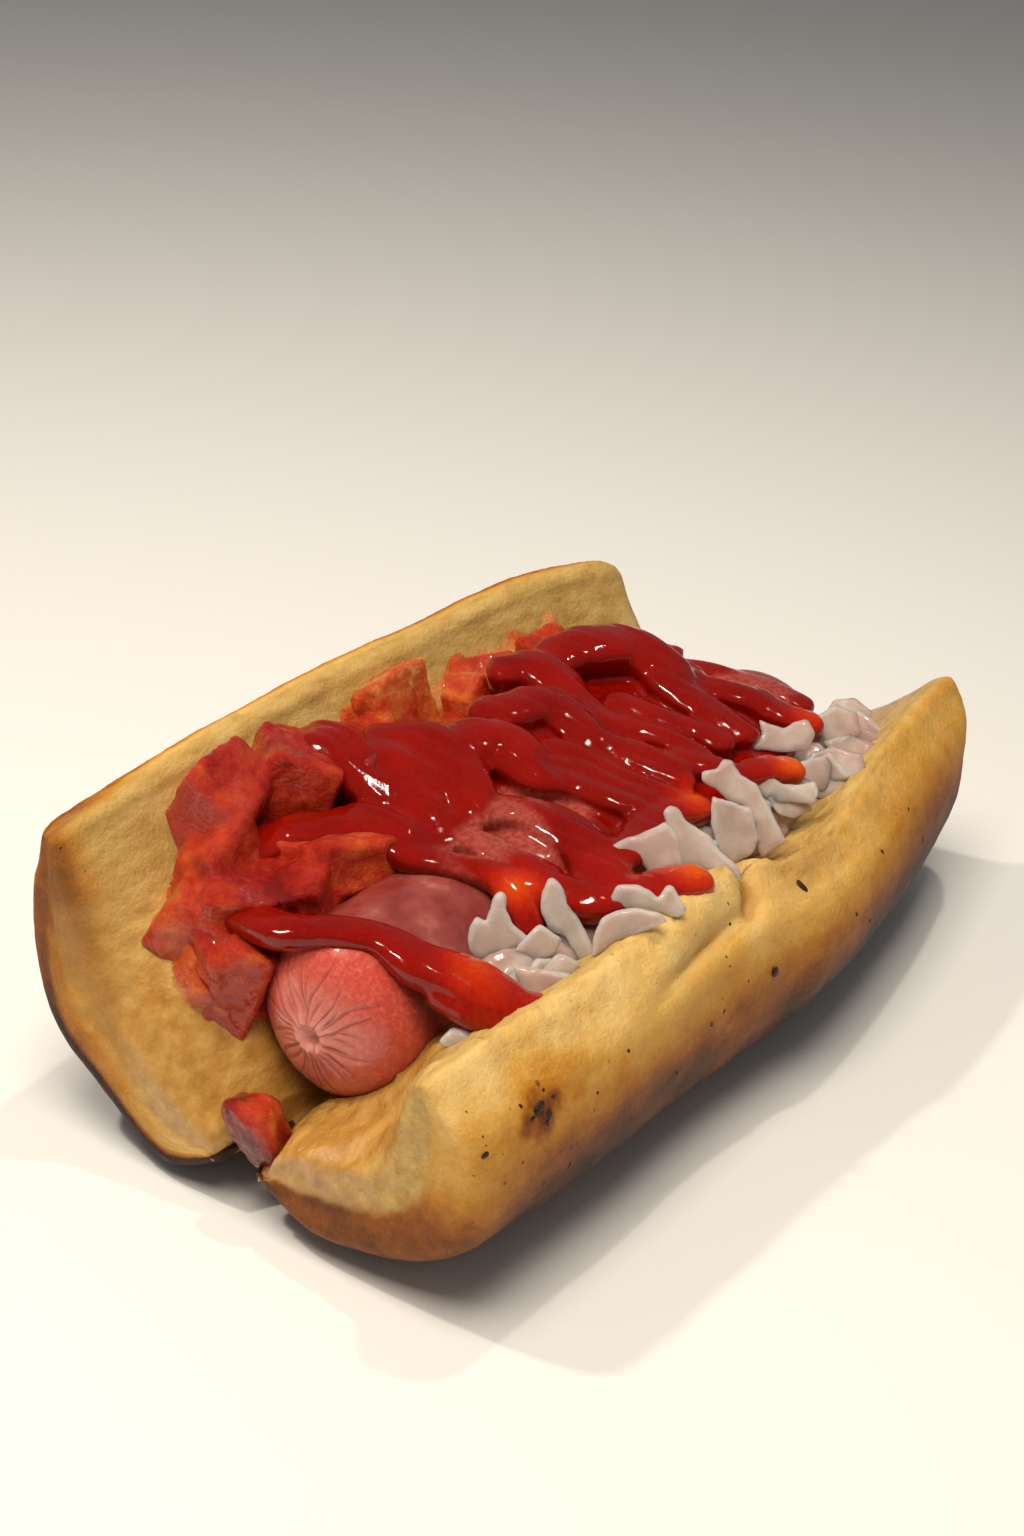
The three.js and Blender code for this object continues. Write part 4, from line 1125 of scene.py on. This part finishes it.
# Flakes that show: x, y, z, tilt and lean in degrees, tint and outline. The outline is in the flake's own
# plane, to the right and up as seen from the near side.
FLAKE_ROWS = (
    (-45.3, -12, 36, 60, 0, 0.08, (
        (-3.1, 0.7), (-1.4, 2.1), (0.2, 2.3), (1.4, 0.4), (3, -2.2), (2, -4), (-2, -3),
    )),
    (-40.5, -16.9, 37.2, 55, 0, 0.08, (
        (-4.6, -2.1), (-4.2, 1.1), (-3.4, 2.7), (-2, 1.9), (-1.3, 5.7), (-0.4, 6.4), (0.6, 5.9), (0.6, 4.1),
        (1.6, 2), (4.1, 0.3), (4.5, -1.3), (2, -1.2), (1.8, -2.9), (1.5, -5.6), (-1.7, -3.6), (-4.2, -2.9),
    )),
    (-39.2, -22.4, 36.6, 62, 8, 0.2, (
        (-0.4, 3.8), (3.2, 2.3), (2.6, 0.2), (-0.2, -2.5), (-2.1, -4.7), (-3.3, -2.9), (-2.9, 0.2),
    )),
    (-32.5, -22.6, 38.2, 58, -6, 0.08, (
        (-3.6, 1.4), (-3.4, 4.1), (-2.6, 6.1), (-1.7, 6.4), (-0.6, 5.3), (0.4, 2.8), (2.4, -0.6), (4.2, -4.8),
        (3.6, -5.6), (2, -6), (0.9, -4.2), (-0.2, -1.9), (-2.4, -0.9),
    )),
    (-26.5, -20.2, 37.6, 50, 0, 0.08, (
        (-2.6, 1), (0.7, 1.4), (1.3, 0.6), (0.7, -0.9), (-0.6, -2.8), (-2.8, -2.2),
    )),
    (-39.8, -26.4, 35.8, 40, 0, 0.15, (
        (-2.9, -1.1), (0, 2.4), (3.2, 1.1), (2.2, -0.8), (-0.6, -2.4), (-3, -1.8),
    )),
    (-30, -31, 39.6, 50, 6, 0.08, (
        (-4.3, -4.9), (-4.5, -2), (-3.9, 0.7), (-2.1, 2.1), (0.6, 3), (4, 2.9), (5.5, 1.8), (1.6, -0.5),
        (-1.3, -2.4),
    )),
    (-24, -30.4, 41.2, 58, 0, 0.08, (
        (-5.6, -0.8), (-4.4, 1.9), (-1.5, 2), (0.5, 1.2), (1.4, 0.4), (2.4, 2.3), (3.5, 2.2), (4.4, 0.6),
        (5.6, -0.8), (4.3, -2.1), (1.5, -1.6), (-3.3, -1.4),
    )),
    (-14, -23.8, 42.6, 50, 0, 0.25, (
        (-5.6, -0.3), (-4.3, 0.9), (-1.6, 2), (2.5, 4.3), (4.2, 2.5), (5.4, -2.6), (0.6, -3.8), (-0.8, -2.1),
        (-3.6, -1.7),
    )),
    (-5.8, -27.4, 40.6, 52, -5, 0.08, (
        (-3.9, 0.9), (-4.9, 5.5), (-3.9, 6.5), (-2.8, 6.2), (-1.6, 4.2), (2, 1.9), (2.6, 0.5), (4.4, -1.3),
        (6.2, -3.1), (6.5, -4.8), (3.9, -5.6), (2, -3.1), (-3, -2.8),
    )),
    (10.6, -25.9, 40.8, 54, 0, 0.08, (
        (-7, 4.3), (-4.5, 5.2), (-3.7, 6.7), (-2.3, 6.7), (-0.8, 4.4), (1.6, 3.4), (3.3, 0.6), (5.5, -3.4),
        (6.6, -5.4), (3.2, -8), (2.2, -6.6), (1.8, -2.9), (0, -0.6), (-2.6, 0.3), (-4.5, 2), (-6.8, 2.8),
    )),
    (6.6, -27, 38.2, 58, 8, 0.15, (
        (-4.6, 4.5), (1.8, 3.9), (3.7, -0.3), (3.4, -2.7), (0.5, -5), (-2, -3.7), (-4, 0.6),
    )),
    (22.1, -26.4, 38.8, 48, 0, 0.08, (
        (-6.1, 2.4), (-3.8, 2.9), (-0.2, 1), (2.6, 1.1), (5, 1.8), (5.5, 0), (5, -2), (1.3, -1.8), (-1, -2.8),
        (-3.8, -0.6),
    )),
    (33.7, -19.4, 41.2, 52, 0, 0.2, (
        (-4, 2.7), (-1.5, 2), (0.3, 1.4), (1.7, 2.7), (3.8, 3.3), (5.3, 0.9), (4.1, -1.9), (0.9, -2.4),
        (-5, -2.4), (-3.4, 0.2),
    )),
    (46.9, -22.4, 38.6, 50, 0, 0.2, (
        (-3.8, 1.9), (-0.2, 4.4), (3.4, 3.1), (4.1, -0.3), (0.9, -3), (-2.6, -5.5), (-4.2, -2),
    )),
    (36, -28.4, 36.6, 42, 0, 0.1, (
        (-4, 3.6), (0, 5.2), (4.4, 4), (5.2, -1), (2, -4.4), (-2.8, -4), (-4.8, -0.6),
    )),
    (56, -20, 36.6, 40, 0, 0.08, (
        (-4.4, -1), (-2.4, 3.4), (1.4, 3.8), (4.4, 1.4), (3.2, -2.4), (-0.6, -3.6),
    )),
    (-58.5, -24.5, 33, 45, 0, 0.08, (
        (-3.4, -0.6), (-1.6, 1.6), (0.8, 0.9), (2.6, 1.8), (3.6, -0.2), (1, -1.9), (-1.8, -1.7),
    )),
)
FLAKE_KEYS = ("x", "y", "z", "tilt", "lean", "tint", "outline")
ONION_FLAKES = [dict(zip(FLAKE_KEYS, row)) for row in FLAKE_ROWS]
FACING = -56  # degrees; how the flakes that show are turned about the upright
HIDDEN_FLAKES = 40


def onion_parts(toppings):
    """The core of the heap, the flakes that show and small ones between them."""
    thick = toppings.onion_thickness / MM
    core_points, core_faces = heap_core(-50, 60, -21, 32, 7.4, 4.2, 91, 1.1)
    tint = np.clip(0.3 + 0.3 * waves(core_points, 6, 92), 0, 1)
    core_faces = np.vstack([core_faces[:, [0, 1, 2]], core_faces[:, [0, 2, 3]]])
    parts = [(core_points, core_faces, {"edge": 0.0, "tint": tint})]
    for number, piece in enumerate(ONION_FLAKES):
        parts.append(flake_form({"turn": FACING, **piece}, piece["outline"], thick, number))
    draw = np.random.default_rng(23)
    for number in range(HIDDEN_FLAKES):
        x = mix(-48, 58, (number + draw.uniform(0.1, 0.9)) / HIDDEN_FLAKES)
        raised = 2.4 * float(smooth(x, -20, 20)) - 1.5 * float(smooth(x, 40, 60))
        piece = {
            "x": x,
            "y": -23.5 + draw.uniform(-4.5, 4),
            "z": 33.8 + draw.uniform(-0.8, 1) + raised,
            "turn": FACING + draw.uniform(-35, 35),
            "tilt": draw.uniform(28, 60),
            "lean": draw.uniform(-20, 20),
            "tint": draw.uniform(0, 0.3),
        }
        outline = rough_outline(draw, draw.uniform(7, 12), draw.uniform(6, 9))
        parts.append(flake_form(piece, outline, thick, 40 + number))
    return parts


# Settings a user can change


def length_setting(name, description, default):
    return bpy.props.FloatProperty(name=name, description=description, default=default, unit="LENGTH")


def number_setting(name, description, default):
    return bpy.props.FloatProperty(name=name, description=description, default=default)


def colour_setting(name, description, default):
    return bpy.props.FloatVectorProperty(
        name=name, description=description, default=linear(default), subtype="COLOR", size=3
    )


class HotDogBread(bpy.types.PropertyGroup):
    length: length_setting("Bun length", "From end to end", 0.15)
    crumb_colour: colour_setting("Crumb", "Colour of the open crumb", "#C09C58")


class HotDogSausage(bpy.types.PropertyGroup):
    thickness: length_setting("Thickness", "Across the sausage", 0.026)
    near: length_setting("Near end", "Where the near dome starts", -0.058)
    far: length_setting("Far end", "Where the far dome starts", 0.052)
    dome: length_setting("Dome", "How far each end stands out", 0.008)
    across: length_setting("Across", "Place across the bun", -0.0046)
    height: length_setting("Height", "Height of its middle line", 0.028)
    bow: length_setting("Bow", "How far its middle bends", 0.001)


class HotDogToppings(bpy.types.PropertyGroup):
    bead_width: number_setting("Bead width", "Half width, as a share of its radius", 1.48)
    bead_height: number_setting("Bead height", "Height above its middle, as a share of its radius", 0.62)
    bead_depth: number_setting("Bead depth", "Depth below its middle, as a share of its radius", 1.5)
    bead_sink: length_setting("Bead sink", "How far the bead settles", 0.0009)
    ketchup_grain: length_setting("Ketchup grain", "Fineness of the ketchup's surface", 0.0005)
    tomato_grain: length_setting("Tomato grain", "Fineness of the tomato's surface", 0.00055)
    onion_thickness: length_setting("Onion thickness", "Thickness of a flake", 0.001)


class HotDogStage(bpy.types.PropertyGroup):
    floor_colour: colour_setting("Floor", "Colour of the paper sweep", "#E9E8E5")
    key_power: number_setting("Key light", "Power of the large light", 3.95)
    glint_power: number_setting("Glint light", "Power of the small light", 1.4)


GROUPS = {
    "hot_dog_bread": HotDogBread,
    "hot_dog_sausage": HotDogSausage,
    "hot_dog_toppings": HotDogToppings,
    "hot_dog_stage": HotDogStage,
}


# One operator for each piece


class HOTDOG_OT_bun(bpy.types.Operator):
    """Build the split bun, its burnt crumbs and the pulp that clings to it"""

    bl_idname = "hot_dog.bun"
    bl_label = "Bun"

    def execute(self, context):
        scene = context.scene
        points, faces, tones, t, side, normals = bun_surface(scene.hot_dog_bread, scene.hot_dog_sausage)
        rows = [list(dict.fromkeys(face)) for face in faces.tolist()]
        rows = [row for row in rows if len(row) > 2]
        make_piece("split_bun", points, rows, bread_material(scene.hot_dog_bread), "bread", tones, ["bun"])
        pulp = pulp_surface(points, faces, t, side, normals)
        make_piece("tomato_pulp", *pulp[:2], tomato_material(), "tomato", pulp[2])
        make_piece("charred_crumbs", *charred_chips(points, normals), charred_material(), "bread")
        return {"FINISHED"}


class HOTDOG_OT_sausage(bpy.types.Operator):
    """Build the sausage"""

    bl_idname = "hot_dog.sausage"
    bl_label = "Sausage"

    def execute(self, context):
        points, faces, tones = sausage_surface(context.scene.hot_dog_sausage)
        material = sausage_material()
        make_piece("frankfurter", points, faces, material, "sausage", tones, ["sausage_with_ketchup"])
        return {"FINISHED"}


class HOTDOG_OT_ketchup(bpy.types.Operator):
    """Build the zigzag of ketchup"""

    bl_idname = "hot_dog.ketchup"
    bl_label = "Ketchup"

    def execute(self, context):
        scene = context.scene
        points, faces, tones = ketchup_surface(scene.hot_dog_toppings, scene.hot_dog_sausage)
        make_piece("ketchup_zigzag", points, faces, ketchup_material(), "sausage", tones)
        return {"FINISHED"}


class HOTDOG_OT_tomato(bpy.types.Operator):
    """Build the diced tomato and the piece that has slipped down"""

    bl_idname = "hot_dog.tomato"
    bl_label = "Tomato"

    def execute(self, context):
        draw = np.random.default_rng(11)
        material = bpy.data.materials["cut_tomato_flesh"]
        toppings = context.scene.hot_dog_toppings
        core_points, core_faces = heap_core(-61, 56, 19, 34.6, 12.5, 6, 81, 0.9)
        last = (len(core_points) // AROUND_CORE - 1) * AROUND_CORE
        loose_points, loose_faces = [core_points], core_faces.tolist()
        loose_faces += [list(range(AROUND_CORE))[::-1], list(range(last, last + AROUND_CORE))]
        count = len(core_points)
        for piece in TOMATO_DICE:
            points, faces = dice_form(piece, draw)
            loose_points.append(points)
            loose_faces += (faces + count).tolist()
            count += len(points)
        points, faces = melted(np.vstack(loose_points), loose_faces, toppings.tomato_grain, 1)
        points, faces, tones = cut_flesh(points, faces, TOMATO_DICE, 0.2)
        make_piece("tomato_dice", points, faces, material, "tomato", tones, ["diced_tomato"])
        points, faces = dice_form(SLIPPED_DICE, np.random.default_rng(31), steps=21, rounding=0.6)
        points, faces, tones = cut_flesh(points, faces, [SLIPPED_DICE], 0.0)
        # The upper side is paler and more orange, and the lower side dark red, partly as the flesh's own
        # colour and partly as painted light and painted shade.
        raised = smooth(points[:, 2] - 0.8 * points[:, 1], 16, 19.5)
        tones["tone"] = np.clip(tones["tone"] + 0.55 * raised, 0, 1)
        make_piece("slipped_tomato", points, faces, material, "tomato", tones, ["slipped_tomato_piece"])
        return {"FINISHED"}


class HOTDOG_OT_onion(bpy.types.Operator):
    """Build the chopped onion"""

    bl_idname = "hot_dog.onion"
    bl_label = "Onion"

    def execute(self, context):
        points, faces, tones = joined(onion_parts(context.scene.hot_dog_toppings))
        make_piece("onion_flakes", points, faces, onion_material(), "onion", tones, ["chopped_onion"])
        return {"FINISHED"}


FLOOR_REACH = 4.0  # metres


class HOTDOG_OT_stage(bpy.types.Operator):
    """Build the floor, the lights and the camera"""

    bl_idname = "hot_dog.stage"
    bl_label = "Stage"

    def execute(self, context):
        scene = context.scene
        stage = scene.hot_dog_stage
        mesh = bpy.data.meshes.new("floor")
        corners = [(FLOOR_REACH * x, FLOOR_REACH * y, 0) for x, y in ((-1, -1), (1, -1), (1, 1), (-1, 1))]
        mesh.from_pydata(corners, [], [(0, 1, 2, 3)])
        mesh.materials.append(paper_material(stage))
        floor = bpy.data.objects.new("floor", mesh)
        scene.collection.objects.link(floor)
        add_light("key_light", (-0.22, -0.06, 0.64), 0.34, stage.key_power).visible_glossy = False
        add_light("glint_light", (-0.2, 0.3, 0.55), 0.03, stage.glint_power)
        add_light("side_glint_light", (0.1, 0.0, 0.6), 0.02, 0.5 * stage.glint_power)
        add_light("fill_light", (-0.55, -0.45, 0.35), 0.7, stage.key_power * 0.07).visible_glossy = False
        world = bpy.data.worlds.new("studio")
        world.use_nodes = True
        sky = world.node_tree.nodes["Background"].inputs
        sky["Color"].default_value = (*linear("#F3F4F6"), 1)
        sky["Strength"].default_value = 0.16
        scene.world = world
        scene.view_settings.view_transform = "Standard"
        add_camera(scene)
        return {"FINISHED"}


def add_light(name, place, size, power):
    data = bpy.data.lights.new(name, "AREA")
    data.size = size
    data.energy = power
    data.color = linear("#FFF4E4")
    light = bpy.data.objects.new(name, data)
    back = np.array(place) - [0, 0, 0.03]
    back /= np.linalg.norm(back)
    right = np.cross([0, 0, 1], back)
    right /= np.linalg.norm(right)
    light.matrix_world = placed(right, np.cross(back, right), back, place)
    bpy.context.scene.collection.objects.link(light)
    return light


def placed(right, up, back, place):
    rows = np.eye(4)
    rows[:3, 0], rows[:3, 1], rows[:3, 2], rows[:3, 3] = right, up, back, place
    return Matrix(rows.tolist())


CAMERA_PLACE = (-0.26239, -0.16338, 0.20517)  # metres
CAMERA_AZIMUTH, CAMERA_ELEVATION, CAMERA_ROLL = -56.39, 27.92, 4.44  # degrees
CAMERA_LENS = 53.03  # millimetres


def add_camera(scene):
    """The camera at the photograph's viewing angle."""
    azimuth, elevation, roll = (math.radians(v) for v in (CAMERA_AZIMUTH, CAMERA_ELEVATION, CAMERA_ROLL))
    level = math.cos(elevation)
    back = np.array([math.sin(azimuth) * level, -math.cos(azimuth) * level, math.sin(elevation)])
    right = np.array([math.cos(azimuth), math.sin(azimuth), 0.0])
    up = np.cross(back, right)
    data = bpy.data.cameras.new("camera")
    data.lens = CAMERA_LENS
    data.clip_start = 0.01
    camera = bpy.data.objects.new("camera", data)
    rolled_right = math.cos(roll) * right + math.sin(roll) * up
    rolled_up = -math.sin(roll) * right + math.cos(roll) * up
    camera.matrix_world = placed(rolled_right, rolled_up, back, CAMERA_PLACE)
    scene.collection.objects.link(camera)
    scene.camera = camera


class HOTDOG_PT_panel(bpy.types.Panel):
    """Lists the pieces of the hot dog"""

    bl_idname = "HOTDOG_PT_panel"
    bl_label = "Hot Dog"
    bl_space_type = "VIEW_3D"
    bl_region_type = "UI"
    bl_category = "Hot Dog"

    def draw(self, context):
        for key in GROUPS:
            box = self.layout.box()
            group = getattr(context.scene, key)
            for name in group.__annotations__:
                box.prop(group, name)
        for operator in OPERATORS:
            self.layout.operator(operator.bl_idname)


OPERATORS = (
    HOTDOG_OT_bun,
    HOTDOG_OT_sausage,
    HOTDOG_OT_ketchup,
    HOTDOG_OT_tomato,
    HOTDOG_OT_onion,
    HOTDOG_OT_stage,
)
CLASSES = (*GROUPS.values(), *OPERATORS, HOTDOG_PT_panel)


def register():
    for item in CLASSES:
        bpy.utils.register_class(item)
    for key, group in GROUPS.items():
        setattr(bpy.types.Scene, key, bpy.props.PointerProperty(type=group))


def unregister():
    for key in GROUPS:
        delattr(bpy.types.Scene, key)
    for item in reversed(CLASSES):
        bpy.utils.unregister_class(item)


def main():
    register()
    bpy.ops.hot_dog.bun()
    bpy.ops.hot_dog.sausage()
    bpy.ops.hot_dog.ketchup()
    bpy.ops.hot_dog.tomato()
    bpy.ops.hot_dog.onion()
    bpy.ops.hot_dog.stage()


if __name__ == "__main__":
    main()
